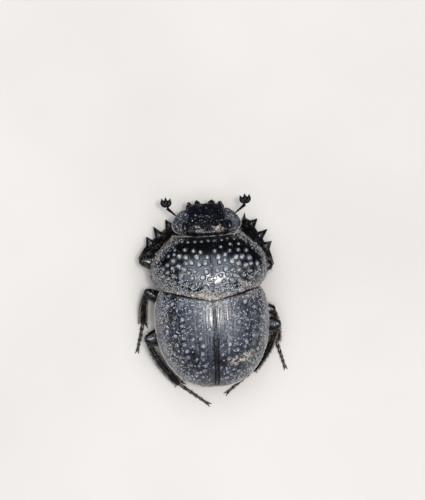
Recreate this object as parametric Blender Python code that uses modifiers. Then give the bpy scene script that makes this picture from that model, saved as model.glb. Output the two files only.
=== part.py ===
"""A dung beetle of the spotted dune scarab kind, life size, standing on the floor in a walking pose.

+Y runs towards the head, +X to the beetle's right as seen from above, and +Z up. The floor is z = 0.
Sizes below are in millimetres, and MM turns them into metres. Every sub-part is one closed solid.
"""

import math

import bmesh
import bpy
from mathutils import Matrix, Vector

MM = 0.001
GAP = 0.1  # clearance between neighbouring pieces
SPINE_ROUNDING = 0.35  # share of the way to a plate's edge where its rings start to gather to a point
SHARP_ANGLE = 40.0  # edges sharper than this stay sharp
FLOOR_CUT = 80.0  # size of the block below the floor that flattens the feet

# Wing cases: the widest point, the ends and the heights that their dome follows.
DOME_HALF_WIDTH = 7.7
DOME_WIDEST_Y = -3.2
DOME_FRONT_Y = 0.6
DOME_REAR_Y = -12.7
DOME_SHOULDER_LOSS = 0.123  # share of the half width lost at the shoulders
DOME_SHOULDER_POWER = 2.65
DOME_PLAN_POWERS = (2.2, 2.3)  # fullness of the dome's rear seen from above
DOME_SIDE_POWERS = (2.25, 2.05)  # fullness of the dome's rear seen from the side
DOME_MARGIN_Z = 4.5
DOME_MARGIN_RISE = 0.55  # how far the margin climbs from the widest point to the rear end
DOME_TOP_Z = 10.35
DOME_TOP_Y = -3.4
DOME_BASE_DROP = 0.4  # how far the top falls from DOME_TOP_Y to the base
ARCH_POWER = 2.35  # squareness of the dome's cross-section
WING_CASE_THICKNESS = 0.42
WING_CASE_GRID = (9, 12)  # facets across and along each wing case
WING_CASE_END = 88.0  # degrees round to the rear point at which the facets end
MARGIN_ANGLE = 92.5  # degrees from the top to the rim, which rolls under
SUTURE_GAP = 0.1

# Base line between the pronotum and the wing cases: a shallow V.
BASE_MIDDLE_Y = -1.03
BASE_RISE = 0.83  # how far the base line has come forward at BASE_RISE_X
BASE_RISE_X = 3.5
BASE_POWER = 1.13

# Pronotum: its section at shares of its length, from the front edge (0) to the base (1).
PRONOTUM_HALF_WIDTH = (
    (0.0, 4.65), (0.21, 6.2), (0.36, 7.2), (0.53, 7.74), (0.7, 7.82), (0.86, 7.47), (1.0, 6.66)
)
PRONOTUM_MARGIN_Z = ((0.0, 5.6), (0.25, 5.05), (0.5, 4.8), (0.75, 4.85), (1.0, 5.3))
PRONOTUM_TOP_Z = (
    (0.0, 7.5), (0.05, 8.3), (0.15, 9.3), (0.3, 10.15), (0.5, 10.7), (0.7, 10.85), (0.87, 10.6),
    (1.0, 9.95),
)
PRONOTUM_RINGS = (0.0, 0.04, 0.12, 0.22, 0.34, 0.47, 0.6, 0.72, 0.83, 0.92, 1.0)
PRONOTUM_COLUMNS = (22, 8)  # facets across its top and its underside
PRONOTUM_FRONT_Y = 7.75
PRONOTUM_FRONT_HOLLOW = 0.3  # how far its front corners stand ahead of the middle
PRONOTUM_FLOOR_Z = 4.5
PRONOTUM_RIM = 0.3  # how far its underside stays inside its side margin

# Head: its outline in its own plane, from the middle of the clypeus round the right side to the neck.
HEAD_OUTLINE = (
    (0.0, 4.8),  # notch between the middle teeth
    (0.5, 4.88),
    (1.05, 5.45),  # middle tooth
    (1.42, 4.85),
    (1.75, 4.72),  # notch
    (2.2, 5.15),  # outer tooth of the clypeus
    (2.52, 4.4),
    (2.62, 3.25),  # notch before the cheek
    (3.1, 3.85),  # front corner of the cheek
    (3.95, 3.1),
    (4.5, 2.2),
    (4.7, 1.4),
    (4.5, 0.65),
    (3.7, 0.05),
    (2.5, -0.35),
    (1.2, -0.7),
    (0.0, -0.8),
)
HEAD_CENTRE_Y = 1.7
HEAD_HINGE = (0.0, 8.15, 5.95)  # where the head's own plane meets the pronotum
HEAD_TILT = 33.0
HEAD_EDGE = 0.17  # half the thickness of the plate that the dome stands on
HEAD_DOME = 1.05
HEAD_DEPTH = 1.2
HEAD_DOME_REACH = (4.9, 3.2, 5.5)  # of the dome to the side, the front and the rear of its centre
HEAD_DOME_SWELL = (2.2, 1.5)
HEAD_UNDER_SWELL = (2.4, 1.6)
HEAD_UNDER_DRAW = 1.1  # how much smaller the swelling below is than the dome
HEAD_ROWS = (10, 5)  # rings of facets, and how many of them are on its upper face
HEAD_GROWTH = 2.4  # millimetres of growth that would double the head's outline
EYE_PLACE = (3.05, 0.75, 0.35)  # in the head's own plane
EYE_RADII = (0.42, 0.75, 0.55)
EYE_FACETS = (8, 6)
EYE_SOCKET_GAP = 0.06

# Underside.
BODY_CENTRE_Z = 4.1
BELLY_Z = 1.7
BELLY_POWER = 2.1  # squareness of the belly's cross-section
CORE_INSET = 0.6  # how far the hind body stays inside the wing cases' outer skin
CORE_BEVEL = 0.9  # how much the hind body's end faces are drawn in
CORE_COLUMNS = 18
CORE_LEAST_WIDTH = 0.3
CORE_LEAST_RISE = 0.2
CHEST_STEPS = 4
CHEST_END = 0.04  # share of its length over which each end is drawn in
CHEST_FRONT_Y = -1.5
CHEST_REAR_Y = -6.5
ABDOMEN_FRONT_Y = -6.6
ABDOMEN_REAR_Y = -11.7
ABDOMEN_RISE = 1.7  # how far the belly climbs to its rear end
ABDOMEN_RISE_POWER = 2.2
STERNITES = 6
STERNITE_STEP = 0.05  # share of the belly's depth lost at each seam
STERNITE_EDGE = 0.06  # share of a plate's length on each side of its seam
PYGIDIUM_CENTRE = (0.0, -11.15, 3.75)
PYGIDIUM_RADII = (2.7, 1.35, 0.45)
PYGIDIUM_TILT = 48.0
PYGIDIUM_FACETS = (12, 6)
PROSTERNUM_MARGIN = (
    (0.0, 7.1),
    (2.4, 7.1),
    (4.4, 6.9),
    (6.3, 5.6),
    (7.2, 3.6),
    (6.8, 1.8),
    (4.6, 0.5),
    (2.6, -0.2),
    (0.0, -0.75),
)
PROSTERNUM_CENTRE_Y = 3.3
PROSTERNUM_RIM_DROP = 0.25
PROSTERNUM_SWELL = (1.9, 1.5)
PROSTERNUM_FACETS = (20, 8, 2)  # columns, rings, and how many rings are on its upper face

# Legs: joints as (x, y, z). Hips and coxae are for the right side; each left leg has its own pose.
HIPS = {"fore": (3.3, 3.9, 2.5), "middle": (3.9, -2.1, 2.2), "hind": (3.7, -5.1, 2.3)}
KNEES = {
    ("fore", "right"): (8.57, 3.26, 3.3),
    ("fore", "left"): (-9.15, 5.0, 3.2),
    ("middle", "right"): (8.6, -2.75, 3.2),
    ("middle", "left"): (-8.7, 0.75, 3.2),
    ("hind", "right"): (9.2, -4.75, 3.6),
    ("hind", "left"): (-9.1, -5.8, 3.5),
}
ANKLES = {
    ("fore", "right"): (5.37, 9.16, 0.47),
    ("fore", "left"): (-3.72, 9.07, 0.39),
    ("middle", "right"): (9.0, -7.3, 0.75),
    ("middle", "left"): (-9.35, -3.7, 0.75),
    ("hind", "right"): (5.4, -11.15, 0.72),
    ("hind", "left"): (-4.85, -12.35, 0.72),
}
TOES = {
    ("middle", "right"): (9.95, -10.9),
    ("middle", "left"): (-10.3, -7.3),
    ("hind", "right"): (1.75, -13.95),
    ("hind", "left"): (-1.05, -15.3),
}
COXA_FACETS = (10, 6)
COXAE = {
    "fore": ((2.35, 3.8, 2.5), (1.7, 1.1, 1.0)),
    "middle": ((3.3, -2.3, 2.1), (0.85, 1.3, 0.7)),
    "hind": ((3.4, -5.1, 2.15), (2.4, 0.85, 0.75)),
}
# Widths of a segment at shares of its length, and its depth.
FEMUR_WIDTHS = {
    "fore": ((0.0, 1.5), (0.4, 2.2), (0.75, 2.0), (1.0, 1.5)),
    "middle": ((0.0, 1.3), (0.4, 1.85), (0.75, 1.65), (1.0, 1.3)),
    "hind": ((0.0, 1.5), (0.35, 2.25), (0.7, 2.35), (1.0, 1.5)),
}
FEMUR_DEPTH = {"fore": 1.5, "middle": 1.2, "hind": 1.3}
FEMUR_OVERRUN = 0.3  # how far a femur runs past the knee's centre
FEMUR_FACETS = (8, 8)
FEMUR_BLUNT = 0.6
TIBIA_WIDTHS = {
    "middle": ((0.0, 0.8), (0.5, 1.1), (1.0, 1.3)),
    "hind": ((0.0, 0.8), (0.5, 1.15), (1.0, 1.32)),
}
TIBIA_DEPTH = {"fore": 0.95, "middle": 0.8, "hind": 0.75}
TIBIA_BOW = {"fore": 0.0, "middle": 0.15, "hind": 0.35}
TIBIA_FACETS = (8, 8)
TIBIA_BLUNT = 0.5
# The fore tibia is a toothed plate. Its edge is given by how far along it from the knee a point stands
# and how far out from its middle line: the knee end, each digging tooth's tip, and the inner edge.
TIBIA_KNEE_END = ((-0.35, 0.0), (0.0, 0.55), (1.3, 0.95))
TIBIA_TEETH = ((2.95, 2.05), (4.75, 2.48), (6.85, 2.13), (8.7, 1.15))
TIBIA_TOOTH_ROOTS = (0.85, 0.35, 1.15)  # how far before and after a tip its roots lie, and how far out
LAST_TOOTH_ROOT = 0.7  # the last tooth's root, as a share of how far out its tip is
TIBIA_INNER_EDGE = ((7.75, 0.0), (7.3, -0.45), (7.95, -1.0), (6.8, -0.85), (3.3, -0.8), (0.4, -0.55))
TIBIA_SPINE = (0.6, 7.0)  # the line that the plate's thickness stands over
BLADE_SWELL = (3.0, 2.0)
BLADE_THINNING = 0.25  # share of its thickness lost at the two ends of that line
BLADE_ROWS = (8, 4)  # rings of facets, and how many of them are on its upper face
TOOTH_SIDES = 6
TOOTH_TIP = 0.25  # of a spur's or claw's width left at its tip
SPUR_LENGTH = 0.7  # past the tibia's end
SPUR_RADIUS = 0.25
SPUR_DROP = 0.08  # how far below the tibia's middle the spur is rooted
SPUR_DEPTH = 0.45  # how far back from the tibia's end the spur is rooted
SPUR_REACH = (0.22, 0.6)  # how far inwards its root and tip lie, in widths of the tibia
TARSUS_START_Z = 0.42
TARSUS_SOCKET = 0.2  # how far a foot reaches back into the tibia
TARSUS_WIDTH = 0.6
TARSUS_TAPER = 0.15
TARSUS_JOINTS = 5
TARSUS_WAIST = 0.84  # of a joint's width left between the joints
TARSUS_SIDES = 6
TARSUS_BLUNT = 0.7
FOOT_PRESS = 0.07  # how far a foot's roundness would sink in the floor, which its flats replace
CLAW_LENGTH = 0.62
CLAW_RADIUS = 0.22
CLAW_SPREADS = {"outer": 33.0, "inner": -27.0}  # degrees away from the foot's heading
CLAW_RISE = 0.06  # how far above the foot's middle a claw is rooted
CLAW_DEPTH = 0.25  # how far back from the foot's end a claw is rooted

# Feelers and mouthparts, in the body's frame. Each feeler has its own pose; the palps are mirrored.
FEELER_STEMS = {
    "right": ((3.15, 10.1, 4.15), (4.3, 10.9, 4.1), (5.52, 11.85, 4.1)),
    "left": ((-3.15, 10.1, 4.15), (-4.15, 10.95, 4.1), (-5.2, 11.95, 4.1)),
}
FEELER_WIDTH = 0.5
FEELER_BEADS = (4, 0.06)  # how many, and how far each swells
FEELER_FACETS = (6, 9)
FEELER_BLUNT = 0.35
CLUB_ROOTS = {"right": (5.62, 11.95, 4.1), "left": (-5.3, 12.05, 4.1)}
CLUB_LEAF = (1.4, 0.62)  # length and width of each of the club's leaves
CLUB_LEAF_SWELL = (0.75, 0.3)  # share of that width at the root, and what is added up to the tip
CLUB_LEAF_FACETS = (6, 6)
CLUB_LEAF_BLUNT = 0.6
CLUB_HEADINGS = {  # degrees away from straight ahead, outwards first
    "right": (24.0, -4.0, -33.0), "left": (24.0, 0.0, -27.0)
}
CLUB_LEAF_DEPTH = 0.6
PALP = ((1.75, 10.5, 3.0), (1.8, 11.3, 2.75), (1.65, 12.1, 2.5))
PALP_WIDTH = 0.5
PALP_BEADS = (2, 0.08)
PALP_FACETS = (6, 7)
PALP_BLUNT = 0.45
CHIN_CENTRE = (0.0, 9.9, 3.1)
CHIN_RADII = (1.5, 1.35, 0.6)
CHIN_FACETS = (8, 6)

COLOURS = {  # linear base colour, roughness
    "shell": ((0.020, 0.022, 0.028), 0.38),
    "wing_case": ((0.034, 0.038, 0.046), 0.45),
    "head_shell": ((0.014, 0.014, 0.016), 0.5),
    "underside": ((0.012, 0.010, 0.009), 0.4),
    "leg": ((0.010, 0.009, 0.008), 0.3),
    "feeler": ((0.030, 0.016, 0.010), 0.45),
    "eye": ((0.020, 0.012, 0.008), 0.15),
}
METALLIC = 0.0


# ---------------------------------------------------------------- scene and materials


def clear_scene():
    for obj in list(bpy.data.objects):
        bpy.data.objects.remove(obj)


def new_collection(name):
    made = bpy.data.collections.new(name)
    bpy.context.scene.collection.children.link(made)
    return made


def material(name):
    """The Principled material of that name, made the first time it is asked for."""
    found = bpy.data.materials.get(name)
    if found:
        return found
    colour, roughness = COLOURS[name]
    made = bpy.data.materials.new(name)
    made.use_nodes = True
    shader = made.node_tree.nodes["Principled BSDF"]
    shader.inputs["Base Color"].default_value = (*colour, 1.0)
    shader.inputs["Roughness"].default_value = roughness
    shader.inputs["Metallic"].default_value = METALLIC
    made.diffuse_color = (*colour, 1.0)
    return made


# ---------------------------------------------------------------- shapes


def power(value, exponent):
    """value to a power, with its sign kept."""
    return math.copysign(abs(value) ** exponent, value)


def between(stations, share):
    """The value at a share, on a smooth curve through stations of (share, value)."""
    i = max(1, next((n for n, (at, _) in enumerate(stations) if at >= share), len(stations) - 1))
    (a, low), (b, high) = stations[i - 1], stations[i]
    before = stations[max(i - 2, 0)]
    after = stations[min(i + 1, len(stations) - 1)]
    rise_a = (high - before[1]) / (b - before[0]) * (b - a)
    rise_b = (after[1] - low) / (after[0] - a) * (b - a)
    t = (share - a) / (b - a)
    flat = t * t * (3.0 - 2.0 * t)
    bend = rise_a * t * (1.0 - t) ** 2 - rise_b * t * t * (1.0 - t)
    return low + (high - low) * flat + bend


def curve_point(a, b, c, d, t):
    """A point between b and c on the smooth curve through four points, and its direction there."""
    place = (
        b
        + (c - a) * (0.5 * t)
        + (a * 2 - b * 5 + c * 4 - d) * (0.5 * t * t)
        + (b * 3 - a - c * 3 + d) * (0.5 * t * t * t)
    )
    heading = (
        (c - a) * 0.5
        + (a * 2 - b * 5 + c * 4 - d) * t
        + (b * 3 - a - c * 3 + d) * (1.5 * t * t)
    )
    return place, heading


def mirrored_loop(half):
    """A closed loop of points from its right half, whose first and last points lie on the midline."""
    left = [(-p[0], *p[1:]) for p in reversed(half[1:-1])]
    return [Vector(p) for p in half] + [Vector(p) for p in left]


def loop_point(points, share, smooth):
    """The point a share of the way round a loop, on straight sides or on a smooth curve."""
    at = (share % 1.0) * len(points)
    first = int(at) % len(points)
    b, c = points[first], points[(first + 1) % len(points)]
    if not smooth:
        return b.lerp(c, at - int(at))
    return curve_point(points[first - 1], b, c, points[(first + 2) % len(points)], at - int(at))[0]


def path_point(points, share):
    """The point and direction at a share along an open path, smooth through its points."""
    whole = [points[0] * 2 - points[1], *points, points[-1] * 2 - points[-2]]
    at = min(max(share, 0.0), 1.0) * (len(points) - 1)
    first = min(int(at), len(points) - 2)
    place, heading = curve_point(*whole[first : first + 4], at - first)
    return place, heading.normalized()


def face_outwards(bm):
    """Turn every face of a closed mesh round if the mesh is inside out."""
    if bm.calc_volume(signed=True) < 0:
        bmesh.ops.reverse_faces(bm, faces=bm.faces)


def add_object(name, bm, group, slot, origin=(0.0, 0.0, 0.0)):
    """An object from a mesh in millimetres about its origin; without a slot it is only a cutter."""
    mesh = bpy.data.meshes.new(name)
    bmesh.ops.scale(bm, vec=(MM, MM, MM), verts=bm.verts)
    bm.to_mesh(mesh)
    bm.free()
    mesh.shade_smooth()
    mesh.set_sharp_from_angle(angle=math.radians(SHARP_ANGLE))
    obj = bpy.data.objects.new(name, mesh)
    obj.location = Vector(origin) * MM
    if slot:
        mesh.materials.append(material(slot))
    else:
        obj.hide_render = True
        obj.display_type = "WIRE"
    group.objects.link(obj)
    return obj


def shaped_ball(name, columns, rows, place, group, slot, origin=(0.0, 0.0, 0.0)):
    """A ball primitive whose points go where place(turn, row) says: turn is 0 to 1 round it, and row is
    0 at its first pole and 1 at its second."""
    bm = bmesh.new()
    bmesh.ops.create_uvsphere(bm, u_segments=columns, v_segments=rows, radius=1.0)
    start = Vector(origin)
    for vert in bm.verts:
        row = round(math.acos(max(-1.0, min(1.0, vert.co.z))) / math.pi * rows) / rows
        column = round(math.atan2(vert.co.y, vert.co.x) / math.tau * columns) % columns
        vert.co = Vector(place(column / columns, row)) - start
    face_outwards(bm)
    return add_object(name, bm, group, slot, origin)


def ellipsoid(name, centre, radii, facets, group, slot, grow=0.0, tilt=0.0):
    """An ellipsoid, tilted by degrees about X."""

    def place(turn, row):
        ring = math.sin(row * math.pi)
        return (
            (radii[0] + grow) * ring * math.cos(turn * math.tau),
            (radii[1] + grow) * ring * math.sin(turn * math.tau),
            (radii[2] + grow) * math.cos(row * math.pi),
        )

    made = shaped_ball(name, *facets, place, group, slot)
    made.location = Vector(centre) * MM
    made.rotation_euler = (math.radians(tilt), 0.0, 0.0)
    return made


def limb(name, points, size, facets, blunt, group, slot, grow=0.0, side=None):
    """A tube of changing section along a path. size(share) gives its width and depth, facets is how
    many it has round and along, a smaller blunt makes squarer ends, and side is the direction in which
    the width is measured."""
    path = [Vector(p) for p in points]
    across = Vector(side) if side else Vector((0.0, 0.0, 1.0)).cross(path[-1] - path[0])

    def place(turn, row):
        share = 0.5 * (1.0 - power(math.cos(row * math.pi), blunt))
        middle, heading = path_point(path, share)
        flat = (across - heading * across.dot(heading)).normalized()
        width, depth = size(share)
        ring = math.sin(row * math.pi) ** blunt if 0.0 < row < 1.0 else 0.0
        angle = turn * math.tau
        return (
            middle
            + heading * (2.0 * grow * (share - 0.5))
            + flat * (ring * (width / 2 + grow) * math.cos(angle))
            + heading.cross(flat) * (ring * (depth / 2 + grow) * math.sin(angle))
        )

    return shaped_ball(name, *facets, place, group, slot, points[0])


def tooth(name, root, tip, radius, thickness, flat, group):
    """A blunt flattened cone from root to tip. flat is the direction in which radius is measured."""
    root, tip = Vector(root), Vector(tip)
    heading = (tip - root).normalized()
    wide = (Vector(flat) - heading * Vector(flat).dot(heading)).normalized()
    up = heading.cross(wide)
    bm = bmesh.new()
    bmesh.ops.create_cone(
        bm, cap_ends=True, segments=TOOTH_SIDES, radius1=1.0, radius2=TOOTH_TIP, depth=1.0
    )
    for vert in bm.verts:
        vert.co = (
            heading * ((vert.co.z + 0.5) * (tip - root).length)
            + wide * (vert.co.x * radius)
            + up * (vert.co.y * thickness / 2)
        )
    face_outwards(bm)
    return add_object(name, bm, group, None, root)


def combine(target, other, operation):
    step = target.modifiers.new(other.name, "BOOLEAN")
    step.operation = operation
    step.object = other
    step.solver = "EXACT"


def cut(target, *cutters):
    for cutter in cutters:
        combine(target, cutter, "DIFFERENCE")


def join(target, other):
    combine(target, other, "UNION")


# ---------------------------------------------------------------- wing cases and the hind body


def dome_half_width(y):
    if y > DOME_WIDEST_Y:
        t = (y - DOME_WIDEST_Y) / (DOME_FRONT_Y - DOME_WIDEST_Y)
        return DOME_HALF_WIDTH * (1.0 - DOME_SHOULDER_LOSS * t**DOME_SHOULDER_POWER)
    t = min(1.0, (DOME_WIDEST_Y - y) / (DOME_WIDEST_Y - DOME_REAR_Y))
    along, out = DOME_PLAN_POWERS
    return DOME_HALF_WIDTH * (1.0 - t**along) ** (1 / out)


def dome_margin(y):
    """The height of the dome's lower edge, which climbs to the rear."""
    t = max(0.0, (DOME_WIDEST_Y - y) / (DOME_WIDEST_Y - DOME_REAR_Y))
    return DOME_MARGIN_Z + DOME_MARGIN_RISE * t * t


def dome_top(y):
    """The height of the dome along the suture."""
    if y > DOME_TOP_Y:
        t = (y - DOME_TOP_Y) / (DOME_FRONT_Y - DOME_TOP_Y)
        return DOME_TOP_Z - DOME_BASE_DROP * t * t
    t = min(1.0, (DOME_TOP_Y - y) / (DOME_TOP_Y - DOME_REAR_Y))
    low = dome_margin(y)
    along, up = DOME_SIDE_POWERS
    return low + (DOME_TOP_Z - low) * (1.0 - t**along) ** (1 / up)


def base_y(x):
    """The line between the pronotum and the wing cases."""
    return BASE_MIDDLE_Y + BASE_RISE * (abs(x) / BASE_RISE_X) ** BASE_POWER


def wing_case(side, name, group):
    """One wing case: an open sheet over half the dome, thickened inwards."""
    across, along = WING_CASE_GRID
    bm = bmesh.new()
    bmesh.ops.create_grid(bm, x_segments=across, y_segments=along, size=1.0)
    for vert in bm.verts:
        angle = math.radians(MARGIN_ANGLE) * (vert.co.x + 1) / 2
        reach = math.sin(math.radians(WING_CASE_END) * (vert.co.y + 1) / 2)
        broad = power(math.sin(angle), 2 / ARCH_POWER)
        tall = power(math.cos(angle), 2 / ARCH_POWER)
        start = base_y(dome_half_width(0.0) * broad) - GAP
        y = start + (DOME_REAR_Y - start) * reach
        x = SUTURE_GAP / 2 + (dome_half_width(y) - SUTURE_GAP / 2) * broad
        low = dome_margin(y)
        vert.co = (side * x, y, low + (dome_top(y) - low) * tall)
    bm.normal_update()
    if sum(face.normal.z * face.calc_area() for face in bm.faces) < 0:
        bmesh.ops.reverse_faces(bm, faces=bm.faces)
    made = add_object(name, bm, group, "wing_case")
    shell = made.modifiers.new("thickness", "SOLIDIFY")
    shell.thickness = WING_CASE_THICKNESS * MM
    shell.offset = -1.0
    return made


def core(name, sections, follow_base, group):
    """A length of the hind body: the dome, inset, over a rounded belly. Each section is its y, the
    height of the belly there and a scale, and the first and last are the flat ends."""
    rows = len(sections) + 1
    stretch = (DOME_WIDEST_Y - DOME_REAR_Y) / (DOME_WIDEST_Y - DOME_REAR_Y - CORE_INSET)

    def place(turn, row):
        ring = round(row * rows)
        at_pole = ring in (0, rows)
        start_y, belly, scale = sections[min(max(ring - 1, 0), rows - 2)]
        angle = turn * math.tau
        across = 0.0 if at_pole else scale * power(math.cos(angle), 2 / ARCH_POWER)
        tall = 0.0 if at_pole else scale * abs(math.sin(angle))
        share = (start_y - sections[-1][0]) / (sections[0][0] - sections[-1][0])
        guess = across * (dome_half_width(start_y) - CORE_INSET)
        y = start_y + follow_base * share * (base_y(guess) - BASE_MIDDLE_Y)
        under = DOME_WIDEST_Y + (y - DOME_WIDEST_Y) * stretch if y < DOME_WIDEST_Y else y
        x = across * max(dome_half_width(under) - CORE_INSET, CORE_LEAST_WIDTH)
        if math.sin(angle) >= 0:
            rise = max(dome_top(under) - CORE_INSET - BODY_CENTRE_Z, CORE_LEAST_RISE)
            return (x, y, BODY_CENTRE_Z + rise * tall ** (2 / ARCH_POWER))
        return (x, y, BODY_CENTRE_Z - (BODY_CENTRE_Z - belly) * tall ** (2 / BELLY_POWER))

    middle = (sections[0][0] + sections[-1][0]) / 2
    centre = (0.0, middle, BODY_CENTRE_Z)
    return shaped_ball(name, CORE_COLUMNS, rows, place, group, "underside", centre)


def chest(group):
    span = CHEST_FRONT_Y - CHEST_REAR_Y
    sections = [(CHEST_FRONT_Y, BELLY_Z, CORE_BEVEL)]
    for i in range(CHEST_STEPS + 1):
        share = CHEST_END + (1.0 - 2 * CHEST_END) * i / CHEST_STEPS
        sections.append((CHEST_FRONT_Y - span * share, BELLY_Z, 1.0))
    sections.append((CHEST_REAR_Y, BELLY_Z, CORE_BEVEL))
    return core("metasternum", sections, 1.0, group)


def abdomen(group):
    """The hind body's rear: the belly climbs to the rear in plates, each seam a small step."""
    span = ABDOMEN_FRONT_Y - ABDOMEN_REAR_Y
    sections = [(ABDOMEN_FRONT_Y, BELLY_Z, CORE_BEVEL)]
    for i in range(STERNITES):
        for t, sunk in ((i + STERNITE_EDGE, STERNITE_STEP), (i + 1.0 - STERNITE_EDGE, 0.0)):
            share = t / STERNITES
            belly = BELLY_Z + ABDOMEN_RISE * share**ABDOMEN_RISE_POWER
            belly += (BODY_CENTRE_Z - belly) * sunk
            sections.append((ABDOMEN_FRONT_Y - span * share, belly, 1.0))
    sections.append((ABDOMEN_REAR_Y, BELLY_Z + ABDOMEN_RISE, CORE_BEVEL))
    return core("abdomen", sections, 0.0, group)


# ---------------------------------------------------------------- front body


def swell(r, flatness, steepness):
    """1 over the middle and 0 at the edge, where it falls off steeply."""
    return max(0.0, 1.0 - r**flatness) ** (1 / steepness)


def plate(name, edge_loop, spine, heights, group, slot, columns, rows, top_rows, smooth, origin):
    """A closed plate with a given edge. Its faces close in from the edge on a spine, a line between two
    points, and heights(x, y, r, edge, above) gives their height, where r is 0 on the spine and 1 at the
    edge."""
    start, end = Vector(spine[0]), Vector(spine[1])
    line = end - start

    def place(turn, row):
        edge = loop_point(edge_loop, turn, smooth)
        ring = row * rows
        above = ring <= top_rows
        part = ring / top_rows if above else (rows - ring) / (rows - top_rows)
        r = math.sin(part * math.pi / 2)
        along = (edge.xy - start).dot(line) / line.length_squared if line.length else 0.0
        spread = min(1.0, r / SPINE_ROUNDING)
        foot = start + line * (0.5 + (min(1.0, max(0.0, along)) - 0.5) * spread)
        x, y = foot.lerp(edge.xy, r)
        edge_z = edge.z if len(edge) > 2 else 0.0
        return (x, y, edge_z if r > 0.9999 else heights(x, y, r, edge_z, above))

    return shaped_ball(name, columns, rows, place, group, slot, origin)


def pronotum(group):
    """The shield: a dome whose sections match the wing cases at its base, over a flat underside."""
    over, beneath = PRONOTUM_COLUMNS
    columns, rows = over + beneath, len(PRONOTUM_RINGS) + 1
    middle = Vector((0.0, PRONOTUM_FRONT_Y / 2, PRONOTUM_FLOOR_Z))

    def place(turn, row):
        ring, column = round(row * rows), round(turn * columns)
        share = PRONOTUM_RINGS[min(max(ring - 1, 0), rows - 2)]
        half, low, top = (
            between(line, share)
            for line in (PRONOTUM_HALF_WIDTH, PRONOTUM_MARGIN_Z, PRONOTUM_TOP_Z)
        )
        if ring in (0, rows):
            x, z = 0.0, (low + PRONOTUM_FLOOR_Z) / 2
        elif column <= over:
            angle = math.pi * column / over
            x = half * power(math.cos(angle), 2 / ARCH_POWER)
            z = low + (top - low) * power(math.sin(angle), 2 / ARCH_POWER)
        else:
            x = (half - PRONOTUM_RIM) * (2 * (column - over - 1) / (beneath - 2) - 1)
            z = PRONOTUM_FLOOR_Z
        hollow = PRONOTUM_FRONT_HOLLOW * (x / PRONOTUM_HALF_WIDTH[0][1]) ** 2 * (1.0 - share)
        front = PRONOTUM_FRONT_Y + hollow
        return (x, front + (base_y(x) - front) * share, z)

    return shaped_ball("pronotum", columns, rows, place, group, "shell", middle)


def prosternum(group):
    top_z = PRONOTUM_FLOOR_Z - GAP

    def heights(_x, _y, r, edge, above):
        return top_z if above else edge - (edge - BELLY_Z) * swell(r, *PROSTERNUM_SWELL)

    margin = [(x, y, top_z - PROSTERNUM_RIM_DROP) for x, y in PROSTERNUM_MARGIN]
    middle = (0.0, PROSTERNUM_CENTRE_Y)
    return plate(
        "prosternum", mirrored_loop(margin), (middle, middle), heights, group, "underside",
        *PROSTERNUM_FACETS, True, (*middle, BELLY_Z),
    )


def head(name, group, slot, grow=0.0):
    """The head in its own plane, then tilted down at the hinge."""
    side_reach, front_reach, rear_reach = HEAD_DOME_REACH

    def heights(x, y, _r, _edge, above):
        ahead = y - HEAD_CENTRE_Y
        reach = front_reach if ahead > 0 else rear_reach
        r = math.hypot(x / side_reach, ahead / reach)
        if above:
            return HEAD_EDGE + grow + HEAD_DOME * swell(min(r, 1.0), *HEAD_DOME_SWELL)
        drawn_in = min(r * HEAD_UNDER_DRAW, 1.0)
        return -HEAD_EDGE - grow - HEAD_DEPTH * swell(drawn_in, *HEAD_UNDER_SWELL)

    spread = 1.0 + grow / HEAD_GROWTH
    margin = mirrored_loop([
        (x * spread, HEAD_CENTRE_Y + (y - HEAD_CENTRE_Y) * spread) for x, y in HEAD_OUTLINE
    ])
    middle = (0.0, HEAD_CENTRE_Y)
    made = plate(
        name, margin, (middle, middle), heights, group, slot, len(margin), *HEAD_ROWS, False,
        (0.0, 0.0, 0.0),
    )
    made.location = Vector(HEAD_HINGE) * MM
    made.rotation_euler = (-math.radians(HEAD_TILT), 0.0, 0.0)
    return made


def eye(side, name, group, slot, grow=0.0):
    """An eye, placed in the head's own plane."""
    x, y, z = EYE_PLACE
    tilt = math.radians(HEAD_TILT)
    centre = (
        side * x,
        HEAD_HINGE[1] + y * math.cos(tilt) + z * math.sin(tilt),
        HEAD_HINGE[2] - y * math.sin(tilt) + z * math.cos(tilt),
    )
    return ellipsoid(name, centre, EYE_RADII, EYE_FACETS, group, slot, grow, -HEAD_TILT)


# ---------------------------------------------------------------- feelers and mouthparts


def beaded(width, beads):
    """A size for a limb: round, with a number of soft beads."""
    count, swing = beads

    def size(share):
        wide = width * (1.0 + swing * math.cos(share * count * math.tau))
        return wide, wide

    return size


def feeler_stem(side_name, name, group, slot, grow=0.0):
    size = beaded(FEELER_WIDTH, FEELER_BEADS)
    return limb(name, FEELER_STEMS[side_name], size, FEELER_FACETS, FEELER_BLUNT, group, slot, grow)


def feeler_leaf(side, side_name, name, heading, group, slot):
    length, width = CLUB_LEAF
    least, more = CLUB_LEAF_SWELL
    turn = math.radians(heading)
    root = Vector(CLUB_ROOTS[side_name])
    tip = root + Vector((math.sin(turn) * side, math.cos(turn), 0.0)) * length

    def size(share):
        return width * (least + more * share), CLUB_LEAF_DEPTH

    return limb(name, [root, tip], size, CLUB_LEAF_FACETS, CLUB_LEAF_BLUNT, group, slot)


def feeler_club(side, side_name, name, group, cutters):
    """The club: three leaves that spread from one root."""
    outer, middle, inner = CLUB_HEADINGS[side_name]
    made = feeler_leaf(side, side_name, name, middle, group, "feeler")
    join(made, feeler_leaf(side, side_name, name + "_outer", outer, cutters, None))
    join(made, feeler_leaf(side, side_name, name + "_inner", inner, cutters, None))
    return made


def palp(side, name, group, slot, grow=0.0):
    path = [(side * x, y, z) for x, y, z in PALP]
    size = beaded(PALP_WIDTH, PALP_BEADS)
    return limb(name, path, size, PALP_FACETS, PALP_BLUNT, group, slot, grow)


# ---------------------------------------------------------------- legs


def coxa(pair, side, name, group, slot, grow=0.0):
    (x, y, z), radii = COXAE[pair]
    return ellipsoid(name, (side * x, y, z), radii, COXA_FACETS, group, slot, grow)


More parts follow.
